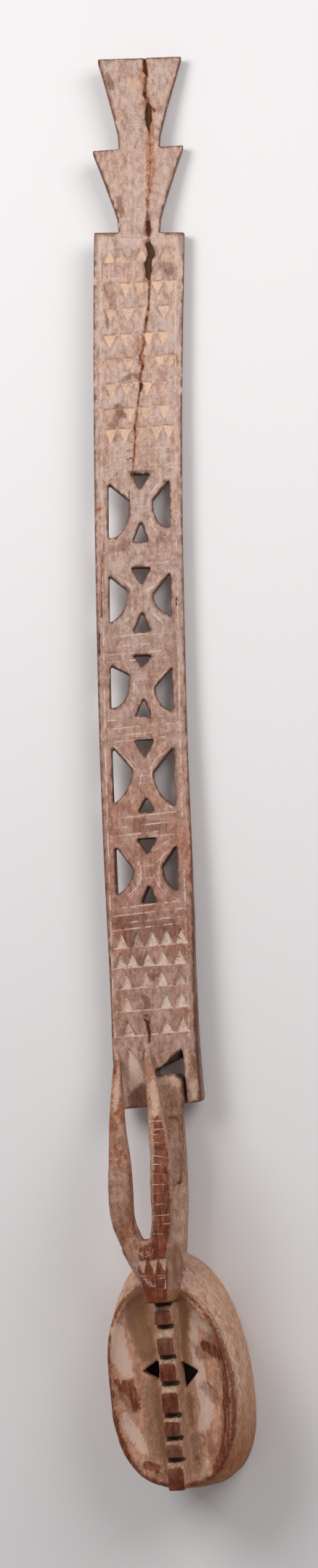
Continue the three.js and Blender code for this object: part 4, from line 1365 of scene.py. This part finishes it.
@dataclass
class Paint:
    """What is painted or worn where, as values on the points of the finished surface."""

    places: Points
    facing: Points
    layers: dict[str, Points] = field(default_factory=dict)

    def marks(self, name: str, lines: Lines | list[Points], where: Points, reach: float, seed: int) -> None:
        """Adds marks to a layer.

        Args:
            name: The layer.
            lines: Lines with their half widths, or distances.
            where: Which points the marks may lie on.
            reach: How far their edges wander, in millimetres.
            seed: Chooses how they wander.
        """
        flat = self.places[:, :2]
        found = nearest([line if isinstance(line, np.ndarray) else line_distance(flat, line)
                         for line in lines])
        found = np.where(where, found + reach * grain_noise(self.places, (5, 8, 5), seed, 3), FAR)
        self.layers[name] = np.minimum(self.layers.get(name, np.full(len(flat), FAR)), found)

    def threads(self, lines: Lines, where: Points, flat: Points | None = None) -> None:
        """Adds thin lines.

        Args:
            lines: The lines.
            where: Which points they may lie on.
            flat: The two measures they are drawn in, u and s if none are given.
        """
        flat = self.places[:, :2] if flat is None else flat
        found = np.where(where, nearest(to_lines(flat, lines)), FAR)
        self.layers["thread"] = np.minimum(self.layers.get("thread", np.full(len(found), FAR)), found)

    def store(self, mesh: bpy.types.Mesh) -> None:
        """Writes the layers as attributes of the mesh."""
        for name, values in self.layers.items():
            mesh.attributes.new(name, "FLOAT", "POINT").data.foreach_set("value", values.astype(np.float32))


@dataclass(frozen=True)
class Tones:
    """The wood's tones, from the face to the finials and of each other place, and its film."""

    plank: tuple[tuple[float, Colour], ...] = (
        (0.50, (168, 126, 104)), (0.70, (172, 126, 108)), (0.80, (158, 98, 76)), (0.92, (176, 126, 106)),
        (1.15, (176, 138, 122)), (1.35, (190, 152, 136)), (1.50, (202, 164, 146)), (1.75, (204, 168, 150)),
        (1.97, (190, 150, 132)),
    )
    wall: Colour = (208, 156, 122)
    wall_low: Colour = (166, 104, 58)
    post: Colour = (156, 108, 76)
    post_low: Colour = (184, 140, 116)
    left_horn: Colour = (152, 96, 64)
    right_horn: Colour = (168, 120, 96)
    horn_block: Colour = (148, 94, 68)
    ridge_block: Colour = (104, 42, 12)
    # The board's side walls and the walls of its openings: darker brown, partly raw wood, partly painted
    # shade.
    side: Colour = (116, 74, 52)
    # Walls that face the chin: painted shade, darkest on the openings' upper walls.
    under: Colour = (74, 48, 36)
    dish: Colour = (202, 150, 122)
    ridge: Colour = (186, 148, 118)
    hollow: Colour = (128, 92, 68)
    back: Colour = (150, 112, 94)
    plank_film: float = 0.38
    plank_film_rise: float = 0.32
    face_film: float = 0.14
    face_film_rise: float = 0.28
    left_horn_film: float = 0.4
    right_horn_film: float = 0.3
    bare_film: float = 0.08


class Grain(Enum):
    """The wood's noises: sizes in millimetres across, along and up, detail, and a shift."""

    BROAD = ((4, 110, 4), 3.0, 0.0)
    FINE = ((0.9, 26, 0.9), 3.0, 0.0)
    STREAKS = ((1.6, 60, 1.6), 2.0, 7.0)
    PATCHES = ((26, 60, 26), 4.0, 3.0)
    RAGGED = ((2.2, 3.4, 2.2), 3.0, 5.0)
    CRUMBS = ((1.1, 2.2, 1.1), 1.0, 9.0)
    MOTTLE = ((6, 11, 6), 4.0, 17.0)
    GRIT = ((2.2, 3.2, 2.2), 3.0, 31.0)
    SMUDGES = ((12, 22, 12), 4.0, 27.0)
    CHECKS = ((0.6, 30, 0.6), 1.0, 13.0)
    BREAKS = ((11, 11, 11), 2.0, 21.0)


@dataclass(frozen=True)
class Patch:
    """How one layer's patches look: their edges, their cover and what wears holes into them.

    The second colour mixes in where the mottle lies within the spread.
    """

    layer: str
    top: Colour
    reach: float
    soft: float
    amount: float
    gaps: Grain | None = None
    second: Colour | None = None
    spread: tuple[float, float] = (0.0, 1.0)


@dataclass(frozen=True)
class WoodFinish:
    """Colours of the wood and of what lies on it."""

    film: Colour = (208, 188, 180)
    streak: Colour = (128, 92, 78)
    # Dark brown of the drying checks and flecks, and of the painted shade in grooves and inner corners.
    check: Colour = (84, 54, 42)
    thread: Colour = (228, 202, 184)
    grime: Colour = (132, 98, 84)
    worn: Colour = (158, 104, 72)
    patches: tuple[Patch, ...] = (
        Patch("red", (92, 35, 14), 3.0, 2.6, 0.9, Grain.STREAKS, (128, 54, 20), (0.38, 0.64)),
        # Tan in the dish: partly olive-brown dirt, partly painted shade near the crown and beside the
        # ridge.
        Patch("tan", (142, 102, 68), 4.0, 7.0, 0.8),
        Patch("chalk", (222, 194, 178), 5.0, 4.0, 0.84, Grain.GRIT),
        Patch("pale", (214, 180, 160), 4.0, 3.0, 0.62, Grain.CRUMBS),
        # Grey patches in the dish, with partly painted shade above the left eye.
        Patch("grey", (132, 102, 82), 5.0, 6.0, 0.6, Grain.GRIT),
        Patch("redder", (92, 35, 14), 6.0, 7.0, 0.5, Grain.STREAKS),
        # Stains, with painted shade inside the right rim and below the foot's recess.
        Patch("stain_and_shade", (112, 70, 50), 3.0, 2.2, 0.66, Grain.FINE),
        Patch("rust", (158, 96, 64), 4.0, 3.4, 0.74, Grain.GRIT, (196, 132, 92), (0.4, 0.62)),
    )
    # Chips: whiter low on the mask, peach high up; the lower chips' whiteness is partly painted light on
    # their faces.
    chip: Patch = Patch("chip", (236, 214, 200), 2.0, 1.8, 0.84, Grain.GRIT, (238, 198, 168), (0.9, 1.3))
    # The dark layer: cracks and holes, and the painted shadows under the ridge blocks.
    dark: Patch = Patch("dark", (62, 36, 25), 1.8, 1.2, 0.92)
    roughness: float = 0.86
    specular: float = 0.25
    bump_strength: float = 0.7
    bump_distance: float = 0.5 * MM


class CarvedWood:
    """The one material: old light wood with its film, paint, cuts and wear."""

    def __init__(self, finish: WoodFinish) -> None:
        """Starts the material and its noises.

        Args:
            finish: Its colours and patches.
        """
        self.finish = finish
        self.made = bpy.data.materials.new("carved wood")
        self.made.use_nodes = True
        self.wires = Wiring(self.made.node_tree)
        self.place = self.layer("place", "Vector")
        self.noises = {grain: self.noise(*grain.value) for grain in Grain}

    def build(self) -> bpy.types.Material:
        """Makes the material.

        Returns:
            The material, which reads the layers that Paint stores.
        """
        wires, finish, noises = self.wires, self.finish, self.noises
        colour = self.filmed(self.layer("tint", "Color"))
        for patch in finish.patches:
            top = self.fixed(patch.top)
            if patch.second:
                share = wires.stretch(noises[Grain.MOTTLE], *patch.spread)
                top = self.mixed(share, top, self.fixed(patch.second))
            colour = self.mixed(self.cover(patch), colour, top)
        chip, pale = self.chipped()
        colour = self.mixed(chip, colour, pale)
        checks = wires.times(wires.stretch(noises[Grain.CHECKS], 0.73, 0.79), 0.4)
        thread = self.thread()
        edge = wires.times(wires.stretch(self.layer("edge"), 0.25, 0.8),
                           wires.stretch(noises[Grain.PATCHES], 0.38, 0.6))
        # Darkens grooves and inner corners by the hollow layer, less inside the chips: partly dirt, partly
        # painted shade.
        dirt_and_crease_shade = wires.times(wires.stretch(self.layer("hollow"), 0.2, 0.9), 0.5)
        dirt_and_crease_shade = wires.times(dirt_and_crease_shade, wires.stretch(chip, 0.2, 0.8, 1.0, 0.25))
        flecks = wires.times(wires.stretch(noises[Grain.CRUMBS], 0.76, 0.8), 0.5)
        for share, top in (
            (checks, finish.check), (thread, finish.thread), (wires.times(edge, 0.6), finish.worn),
            (dirt_and_crease_shade, finish.check), (flecks, finish.check), (self.cover(finish.dark), finish.dark.top),
        ):
            colour = self.over(colour, share, top)
        height = wires.times(noises[Grain.STREAKS], 0.4)
        height = wires.math("ADD", wires.times(noises[Grain.FINE], 0.5), height)
        height = wires.math("SUBTRACT", height, wires.times(checks, 0.8))
        height = wires.math("SUBTRACT", height, wires.times(thread, 0.4))
        inputs = {"Height": height, "Strength": finish.bump_strength, "Distance": finish.bump_distance}
        shader = self.made.node_tree.nodes["Principled BSDF"]
        shader.inputs["Roughness"].default_value = finish.roughness
        shader.inputs["Specular IOR Level"].default_value = finish.specular
        links = self.made.node_tree.links
        links.new(colour, shader.inputs["Base Color"])
        links.new(wires.node("ShaderNodeBump", inputs).outputs["Normal"], shader.inputs["Normal"])
        return self.made

    def filmed(self, colour: bpy.types.NodeSocket) -> bpy.types.NodeSocket:
        """Gives the wood its grain, pale film and dirty edges.

        Args:
            colour: The wood's own tone.

        Returns:
            The wood's colour without paint.
        """
        wires, finish, noises = self.wires, self.finish, self.noises
        for grain, low, high in (
            (Grain.BROAD, 0.88, 1.08),
            (Grain.MOTTLE, 0.78, 1.15),
            (Grain.GRIT, 0.86, 1.11),
            (Grain.FINE, 0.96, 1.03),
        ):
            colour = wires.vector("SCALE", colour, wires.stretch(noises[grain], 0.3, 0.7, low, high))
        worn = wires.times(wires.stretch(noises[Grain.STREAKS], 0.54, 0.72), 0.2)
        film = wires.times(noises[Grain.MOTTLE], 0.3)
        film = wires.math("ADD", wires.times(noises[Grain.PATCHES], 0.45), film)
        film = wires.math("MULTIPLY_ADD", noises[Grain.GRIT], 0.25, film)
        film = wires.times(wires.stretch(film, 0.39, 0.62), self.layer("film"))
        smudges = wires.times(wires.stretch(noises[Grain.SMUDGES], 0.5, 0.74), 0.46)
        border = wires.wander(noises[Grain.PATCHES], -26.0, self.layer("inland"))
        border = wires.wander(noises[Grain.RAGGED], 5.0, border)
        border = wires.times(wires.stretch(border, 4.0, 0.0), 0.55)
        outline = wires.wander(noises[Grain.MOTTLE], 7.0, self.layer("inland"))
        outline = wires.times(wires.stretch(outline, 3.2, 0.8), 0.75)
        grime = wires.math("MAXIMUM", smudges, border)
        for share, top in (
            (worn, finish.streak), (film, finish.film), (grime, finish.grime), (outline, finish.check)
        ):
            colour = self.over(colour, share, top)
        return colour

    def chipped(self) -> tuple[bpy.types.NodeSocket, bpy.types.NodeSocket]:
        """Makes each chip's tone and cover: whiter low on the mask, partly painted light on the lower
        chips' faces, and the second colour where the mask is high.

        Returns:
            How strongly the chips cover the wood, and their colour.
        """
        wires, finish, kind = self.wires, self.finish, self.layer("kind")
        high = wires.node("ShaderNodeSeparateXYZ", {0: self.place}).outputs["Y"]
        chip = finish.chip
        # The whiter top colour on the lower chips is partly painted light.
        pale = self.over(self.fixed(chip.top), wires.stretch(high, *chip.spread), chip.second)
        pale = self.over(pale, wires.stretch(kind, 0.7, 0.95, 0.0, 0.3), finish.worn)
        pale = self.over(pale, wires.stretch(kind, 0.35, 0.0, 0.0, 0.7), finish.thread)
        return wires.times(self.cover(chip), wires.stretch(kind, 1.0, 0.45, 0.66, 1.0)), pale

    def noise(self, sizes: Triple, detail: float, shift: float) -> bpy.types.NodeSocket:
        """Adds a noise.

        Args:
            sizes: Its features' sizes in millimetres, across, along and up.
            detail: How much fine detail it has.
            shift: Moves the pattern, so that no two noises agree.

        Returns:
            A value from 0 to 1.
        """
        place = self.wires.vector("MULTIPLY", self.place, tuple(1 / (size * MM) for size in sizes))
        if shift:
            place = self.wires.vector("ADD", place, (shift,) * 3)
        inputs = {"Vector": place, "Scale": 1.0, "Detail": detail}
        return self.wires.node("ShaderNodeTexNoise", inputs).outputs[0]

    def layer(self, name: str, output: str = "Fac") -> bpy.types.NodeSocket:
        """One layer of the paint, as stored on the surface."""
        return self.wires.node("ShaderNodeAttribute", attribute_name=name).outputs[output]

    def cover(self, patch: Patch) -> bpy.types.NodeSocket:
        """How strongly a layer's patches cover the wood.

        Args:
            patch: How they look. Their layer holds the distance to them in millimetres.

        Returns:
            From 0, none, to the patch's amount.
        """
        wires, noises = self.wires, self.noises
        shifted = wires.wander(noises[Grain.RAGGED], patch.reach * 2, self.layer(patch.layer))
        cover = wires.times(wires.stretch(shifted, patch.soft / 2, -patch.soft / 2), patch.amount)
        if patch.gaps:
            cover = wires.times(cover, wires.stretch(noises[patch.gaps], 0.7, 0.42, 0.62, 1.0))
        return cover

    def thread(self) -> bpy.types.NodeSocket:
        """How strongly the thin pale lines show.

        Returns:
            A broken line, stronger in some places.
        """
        wires, noises = self.wires, self.noises
        line = wires.stretch(wires.wander(noises[Grain.CRUMBS], 1.2, self.layer("thread")), 1.35, 0.55)
        line = wires.times(line, wires.stretch(noises[Grain.BREAKS], 0.43, 0.57, 0.08, 0.78))
        return wires.times(line, wires.stretch(noises[Grain.PATCHES], 0.3, 0.6, 0.5, 1.0))

    def fixed(self, colour: Colour) -> tuple[float, float, float, float]:
        """A colour as a socket takes it."""
        return (*tone(*colour), 1.0)

    def mixed(self, share: object, low: object, high: object) -> bpy.types.NodeSocket:
        """Mix of two colours."""
        inputs = {0: share, 6: low, 7: high}
        return self.wires.node("ShaderNodeMix", inputs, data_type="RGBA").outputs[2]

    def over(self, colour: object, share: object, top: Colour) -> bpy.types.NodeSocket:
        """A fixed colour laid over another."""
        return self.mixed(share, colour, self.fixed(top))


@dataclass
class Carving:
    """The whole mask as one fine surface."""

    cell: float = 1.1
    quick_cell: float = 2.5
    faces: int = 195000
    sharp_edge: tuple[float, float] = (0.07, 0.16)
    soft_rounds: int = 24
    worn_edge: tuple[float, float] = (0.03, 0.12)
    worn_rounds: int = 5
    nick_depth: float = 2.6
    nick_start: float = 0.12
    pierced_rounds: int = 16
    swell_depth: float = 0.32
    pierced_along: tuple[float, float] = (797, 1388)
    post_along: tuple[float, float] = (300, 575)
    relief_full: float = 0.12
    plank: Plank = field(default_factory=Plank)
    shell: Shell = field(default_factory=Shell)
    horns: Horns = field(default_factory=Horns)
    tones: Tones = field(default_factory=Tones)

    def build(self, finish: bpy.types.Material) -> bpy.types.Object:
        """Carves, paints, bends and places the surface.

        Args:
            finish: The wood.

        Returns:
            The finished object.
        """
        net = Net(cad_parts[NODE], self.cell)
        LOG.info("net of %d points", len(net.places))
        self.soften(net)
        self.plank.level(net)
        self.wear(net)
        for part in (self.plank, self.shell, self.horns):
            part.carve(net, finish)
        net.relax(np.full(len(net.places), 0.3), 1)
        relief = self.relief(net)
        mesh = self.thinned(net)
        LOG.info("surface of %d faces", len(mesh.polygons))
        self.paint(mesh, net, relief)
        place = read(mesh.vertices, "co", 3)
        mesh.attributes.new("place", "FLOAT_VECTOR", "POINT").data.foreach_set("vector", place.ravel())
        lying = LIE.bend(place / MM) * MM
        lying[:, 2] = np.maximum(lying[:, 2], 0.0)
        mesh.vertices.foreach_set("co", lying.ravel())
        mesh.polygons.foreach_set("use_smooth", np.ones(len(mesh.polygons), bool))
        mesh.update()
        mesh.materials.clear()
        mesh.materials.append(finish)
        return linked("carving", mesh)

    def soften(self, net: Net) -> None:
        """Rounds the flats of the ovals and horns into curves, and leaves the true edges.

        Args:
            net: The net as it comes from the solid.
        """
        sharp = net.spread(smoothstep(*self.sharp_edge, np.abs(net.bulge()) / self.cell), 3)
        carved = net.places[:, 1] < self.plank.start
        net.relax(np.where(carved, 0.5 * (1 - sharp), 0.0), self.soft_rounds)

    def wear(self, net: Net) -> None:
        """Rounds and nicks the edges, and lets the flats swell and sink a little.

        Args:
            net: The net to wear.
        """
        net.relax(np.full(len(net.places), 0.5), 3)
        facing = net.normals()
        edge = net.spread(smoothstep(*self.worn_edge, net.bulge() / self.cell), 2)
        bites = np.maximum(0.0, grain_noise(net.places, (7, 13, 7), 71, 3) - self.nick_start)
        net.places -= facing * (edge * bites * self.nick_depth)[:, None]
        net.relax(edge * 0.5, self.worn_rounds)
        u, s, _ = net.places.T
        pierced = between(s, *self.pierced_along) & (np.abs(u + 2) < 43)
        net.relax(np.where(pierced, net.spread(edge, 2), 0.0) * 0.5, self.pierced_rounds)
        swell = grain_noise(net.places, (18, 46, 18), 72, 3)
        above = net.places[:, 1] > self.shell.end
        net.places += facing * (swell * np.where(above, self.swell_depth, 0.0))[:, None]

    def relief(self, net: Net) -> Points:
        """Finds the edges and grooves.

        Args:
            net: The carved net.

        Returns:
            How much each point stands out, above 0, or lies in a groove, below 0.
        """
        bulge = net.bulge() / self.cell
        for _ in range(3):
            bulge = 0.5 * bulge + 0.5 * net.around(bulge)
        return bulge

    def thinned(self, net: Net) -> bpy.types.Mesh:
        """Takes faces out of the net where it is flat.

        Args:
            net: The carved net.

        Returns:
            A mesh of about as many triangles as faces says.
        """
        net.normals()
        piece = linked("net", net.mesh)
        thinner = piece.modifiers.new("fewer", "DECIMATE")
        thinner.ratio = min(1.0, self.faces / (2 * len(net.mesh.polygons)))
        thinner.use_collapse_triangulate = True
        return applied(piece)

    def paint(self, mesh: bpy.types.Mesh, net: Net, relief: Points) -> None:
        """Paints the straight surface and stores the layers on it.

        Args:
            mesh: The surface.
            net: The net that it comes from.
            relief: How much each point of the net stands out.
        """
        places, facing = read(mesh.vertices, "co", 3) / MM, read(mesh.vertices, "normal", 3)
        tree = search_tree(net.places)
        relief = relief[[tree.find(place)[1] for place in places]]
        paint = Paint(places, facing)
        masks = self.shell.masks(places, facing)
        masks["hollow"] |= masks["wall"] & self.shell.roof(places, facing)
        masks["front"] = self.plank.front(places) & (facing[:, 2] > -0.3)
        masks["horns"] = self.horns.mask(places)
        masks["post"] = between(places[:, 1], *self.post_along) & (np.abs(places[:, 0]) < 40)
        masks["post"] &= ~masks["horns"]
        paint.layers["edge"] = np.clip(relief / self.relief_full, 0, 1)
        # The hollow layer: how deep each point lies in a groove or inner corner, which the material darkens
        # as partly dirt, partly painted shade.
        paint.layers["hollow"] = np.clip(-relief / self.relief_full, 0, 1)
        self.paint_plank(paint, masks)
        self.paint_face(paint, masks)
        self.paint_horns(paint, masks)
        self.tint(paint, masks, mesh)
        paint.store(mesh)

    def paint_plank(self, paint: Paint, masks: dict[str, Points]) -> None:
        """Adds the marks of the long board and the post.

        Args:
            paint: What is painted so far.
            masks: Which points belong to what.
        """
        plank, flat = self.plank, paint.places[:, :2]
        front = masks["front"] & ~masks["horns"]
        upper = front & (paint.places[:, 1] > plank.start)
        foot = front & ~upper
        post = masks["post"] & (paint.facing[:, 2] > 0)
        paint.threads(plank.scored(), upper)
        thin = nearest(to_lines(flat, plank.panel_lines() + plank.finial_lines)) < 3.0
        strong = nearest(to_lines(flat, plank.strokes)) < 2.0
        paint.layers["thread"] += np.where(thin & ~strong, 0.45, 0.0) + np.where(strong, 0.12, 0.0)
        chips = to_patches(flat, plank.chip_patches())
        kinds = np.array(chips).argmin(0)
        paint.layers["kind"] = random_at(np.stack([kinds, kinds * 0 + 5, kinds * 0 + 2], axis=1), 8)
        paint.layers["inland"] = self.inland(paint, front)
        split = [distance - 0.6 for distance in to_lines(flat, plank.split)]
        recess, under = to_patches(flat, (plank.recess, plank.under_recess))
        for name, lines, where, reach, seed in (
            ("chip", chips, upper, 0.8, 1),
            ("dark", plank.dark, upper, 0.6, 3),
            ("rust", plank.rust, upper, 2.5, 4),
            ("rust", split, upper, 1.2, 9),
            ("stain_and_shade", plank.stains, upper, 2.5, 5),
            ("redder", plank.redder, front, 4.0, 6),
            ("chalk", [recess + 1.5], foot, 2.0, 7),
            # Painted darker below the recess: partly redder wood, partly painted shade.
            ("stain_and_shade", [under + 0.5], foot, 2.0, 33),
            ("pale", plank.rubbed, front, 3.0, 31),
            ("chip", plank.swipes, upper, 0.8, 34),
            ("chip", [patch_distance(flat, plank.vee) + 0.4], upper, 1.0, 35),
            ("stain_and_shade", plank.foot_stains, front | masks["post"], 2.0, 32),
            ("dark", plank.post_marks, post, 0.6, 8),
            ("stain_and_shade", plank.post_lines, post, 1.0, 36),
        ):
            paint.marks(name, lines, where, reach, seed)

    def inland(self, paint: Paint, front: Points) -> Points:
        """How far each point of the board's front is from the nearest edge.

        Args:
            paint: The surface's points and directions.
            front: Which points are on the front.

        Returns:
            Millimetres, and FAR elsewhere.
        """
        w, flat = paint.places[:, 2], flattened(paint.places)
        wall = between(w, 21, 40) & (flat[:, 1] > self.plank.foot) & (np.abs(paint.facing[:, 2]) < 0.5)
        walls = search_tree(flat[wall])
        gap = np.full(len(flat), FAR)
        for index in np.flatnonzero(front):
            gap[index] = walls.find(flat[index])[2]
        return np.minimum(gap, FAR)

    def paint_face(self, paint: Paint, masks: dict[str, Points]) -> None:
        """Adds the marks of the shell, its dish and its ridge.

        Args:
            paint: What is painted so far.
            masks: Which points belong to what.
        """
        shell, dish, places = self.shell, masks["dish"], paint.places
        u, s, w = places.T
        paint.threads((shell.ladder,), masks["wall"] & (u > 20), places[:, [2, 1]])
        paint.layers["thread"] -= np.where(masks["wall"], 0.35, 0.0)
        share = shell.share(places[:, :2])
        rim = np.abs(share - 0.99) * shell.half - 2.0
        # Painted shadow in a thin line just inside the right rim.
        shade_inside_right_rim = np.abs(share - 0.97) * shell.half - 0.4
        lip = (w > 112) & (s < 318) & ~masks["horns"] & ~masks["ridge"]
        ends = (shell.block_end, *shell.block_ends)
        # Painted shadow under each ridge block, on the upper wall of the notch below it.
        shade_under_blocks = tuple(((-9, end - 3.5, 3), (9, end - 3.5, 3)) for end in ends)
        for name, lines, where, reach, seed in (
            ("chalk", shell.chalk, dish, 5.0, 11),
            # Tan: partly dirt, partly painted shade near the crown and beside the ridge.
            ("tan", shell.tan, dish, 4.0, 12),
            ("grey", shell.grey, dish, 4.0, 13),
            ("red", shell.reds, dish, 4.0, 14),
            ("redder", shell.soft, dish, 5.0, 15),
            ("red", [rim], lip, 1.6, 17),
            ("stain_and_shade", [shade_inside_right_rim], lip & (u > 0), 0.8, 18),
            ("dark", shade_under_blocks, masks["ridge"] & (w < 138), 1.5, 16),
        ):
            paint.marks(name, lines, where, reach, seed)

    def paint_horns(self, paint: Paint, masks: dict[str, Points]) -> None:
        """Adds the marks of the horns and their block.

        Args:
            paint: What is painted so far.
            masks: Which points belong to what.
        """
        horns = self.horns
        front = masks["horns"] & (paint.facing[:, 2] > 0.25)
        paint.marks("red", horns.red, front, 2.0, 21)
        paint.marks("pale", horns.pale, front, 3.0, 22)
        paint.marks("chip", to_patches(paint.places[:, :2], horns.chips), front, 0.6, 23)
        paint.threads(horns.lines(), front)
        paint.layers["thread"] += np.where(masks["horns"], 0.42, 0.0)

    def tint(self, paint: Paint, masks: dict[str, Points], mesh: bpy.types.Mesh) -> None:
        """Stores the wood's own tone, with painted shade on the board's side walls, and how much pale film
        lies on it.

        Args:
            paint: The surface's points, directions and layers.
            masks: Which points belong to what.
            mesh: The surface.
        """
        tones, (u, s, w), horns = self.tones, paint.places.T, masks["horns"]
        endwards, upward = paint.facing[:, 1], paint.facing[:, 2]
        along = np.array([place for place, _ in tones.plank]) / MM
        steps = np.array([tone(*colour) for _, colour in tones.plank])
        colour = np.stack([np.interp(s, along, steps[:, k]) for k in range(3)], axis=1)
        low = (1 - smoothstep(60, 210, s))[:, None]
        wall = tone(*tones.wall) + (tone(*tones.wall_low) - tone(*tones.wall)) * low
        left = u < -12
        horn = np.where(left[:, None], tone(*tones.left_horn), tone(*tones.right_horn))
        horn = np.where((s < 352)[:, None], tone(*tones.horn_block), horn)
        low_face = (s < self.shell.end) & ~horns
        block = masks["ridge"] & ((w > 138.5) | (s < 49))
        side = (s > self.plank.foot) & between(w, 17, 47.5) & (np.abs(upward) < 0.55) & ~horns
        for where, own in (
            (low_face, wall),
            (masks["post"], tone(*tones.post)),
            (masks["dish"], tone(*tones.dish)),
            (masks["ridge"], tone(*tones.ridge)),
            (masks["hollow"], tone(*tones.hollow)),
            (masks["post"] & (s < 425) & ~masks["hollow"], tone(*tones.post_low)),
            (block, tone(*tones.ridge_block)),
            (horns, horn),
            # Side walls: partly raw wood, partly painted shade; walls facing the chin: painted shade.
            (side, tone(*tones.side)),
            (side & (endwards < -0.35), tone(*tones.under)),
            ((s > self.shell.end) & (upward < -0.3) & ~horns, tone(*tones.back)),
        ):
            colour = np.where(where[:, None], own, colour)
        film = tones.plank_film + tones.plank_film_rise * smoothstep(850, 1500, s)
        film = np.where(low_face, tones.face_film + tones.face_film_rise * smoothstep(60, 200, s), film)
        film = np.where(horns, np.where(left, tones.left_horn_film, tones.right_horn_film), film)
        paint.layers["film"] = np.where(masks["dish"] | masks["hollow"] | block, tones.bare_film, film)
        rows = np.concatenate([colour, np.ones((len(colour), 1))], axis=1).astype(np.float32)
        mesh.attributes.new("tint", "FLOAT_COLOR", "POINT").data.foreach_set("color", rows.ravel())


@dataclass(frozen=True)
class Lamp:
    """A soft square light: its name, place, power in watts and size in metres."""

    name: str
    place: Triple
    power: float
    size: float = 1.5


@dataclass
class Studio:
    """A pale floor, soft light and the camera of the photograph."""

    turn: float = math.radians(14)
    rise: float = math.radians(4.5)
    distance: float = 3.5
    target: Triple = (0.0, 960.0, 32.0)
    share: float = 0.98
    picture_height: float = 2160
    sensor: float = 36
    sky: Triple = (0.955, 0.93, 0.92)
    sky_strength: float = 0.29
    floor_half: float = 8
    floor_colour: Triple = (0.86, 0.85, 0.87)
    floor_roughness: float = 0.9
    lamps: tuple[Lamp, ...] = (Lamp("left", (-1.5, 1.2, 2.1), 43), Lamp("right", (1.6, 1.1, 2.0), 32))
    lamp_colour: Triple = (1.0, 0.985, 0.965)
    lamp_target: Triple = (0, 0.1, 0)

    def build(self) -> None:
        """Makes the floor, the lights and the camera."""
        scene = bpy.context.scene
        scene.view_settings.view_transform = "Standard"
        world = bpy.data.worlds.new("studio")
        world.use_nodes = True
        background = world.node_tree.nodes["Background"]
        background.inputs["Color"].default_value = (*self.sky, 1)
        background.inputs["Strength"].default_value = self.sky_strength
        scene.world = world
        half = self.floor_half
        mesh = bpy.data.meshes.new("floor")
        mesh.from_pydata([(-half, -half, 0), (half, -half, 0), (half, half, 0), (-half, half, 0)], [],
                         [(0, 1, 2, 3)])
        pale = bpy.data.materials.new("floor")
        pale.use_nodes = True
        shader = pale.node_tree.nodes["Principled BSDF"]
        shader.inputs["Base Color"].default_value = (*self.floor_colour, 1)
        shader.inputs["Roughness"].default_value = self.floor_roughness
        mesh.materials.append(pale)
        floor = linked("floor", mesh)
        for lamp in self.lamps:
            self.light(lamp)
        self.camera()

    def light(self, lamp: Lamp) -> None:
        """Hangs up a lamp, turned towards the mask.

        Args:
            lamp: Its name, place, power and size.
        """
        data = bpy.data.lights.new(lamp.name, "AREA")
        data.size = lamp.size
        data.energy = lamp.power
        data.color = self.lamp_colour
        made = linked(lamp.name, data)
        made.location = lamp.place
        towards = Vector(lamp.place) - Vector(self.lamp_target)
        made.rotation_euler = towards.to_track_quat("Z", "Y").to_euler()

    def camera(self) -> None:
        """Looks down on the lying mask from the photograph's side."""
        flat = math.cos(self.rise)
        back = Vector((math.sin(self.turn) * flat, -math.sin(self.rise), math.cos(self.turn) * flat))
        right = Vector((math.cos(self.turn), 0, -math.sin(self.turn)))
        data = bpy.data.cameras.new("camera")
        data.sensor_fit = "AUTO"
        data.sensor_width = self.sensor
        data.lens = self.sensor * self.distance / MM / self.share / self.picture_height
        data.clip_end = 50
        camera = linked("camera", data)
        target = (Vector(self.target) + Vector(LIE.shift)) * MM
        turned = Matrix((right, back.cross(right), back)).transposed().to_4x4()
        camera.matrix_world = Matrix.Translation(target + back * self.distance) @ turned
        bpy.context.scene.camera = camera


def main() -> None:
    """Dresses the solid and sets the scene."""
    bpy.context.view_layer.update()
    piece = Carving().build(CarvedWood(WoodFinish()).build())
    LOG.info("mask carved as %s", piece.name)
    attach(piece, BODY)
    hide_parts(NODE)
    Studio().build()


if __name__ == "__main__":
    main()
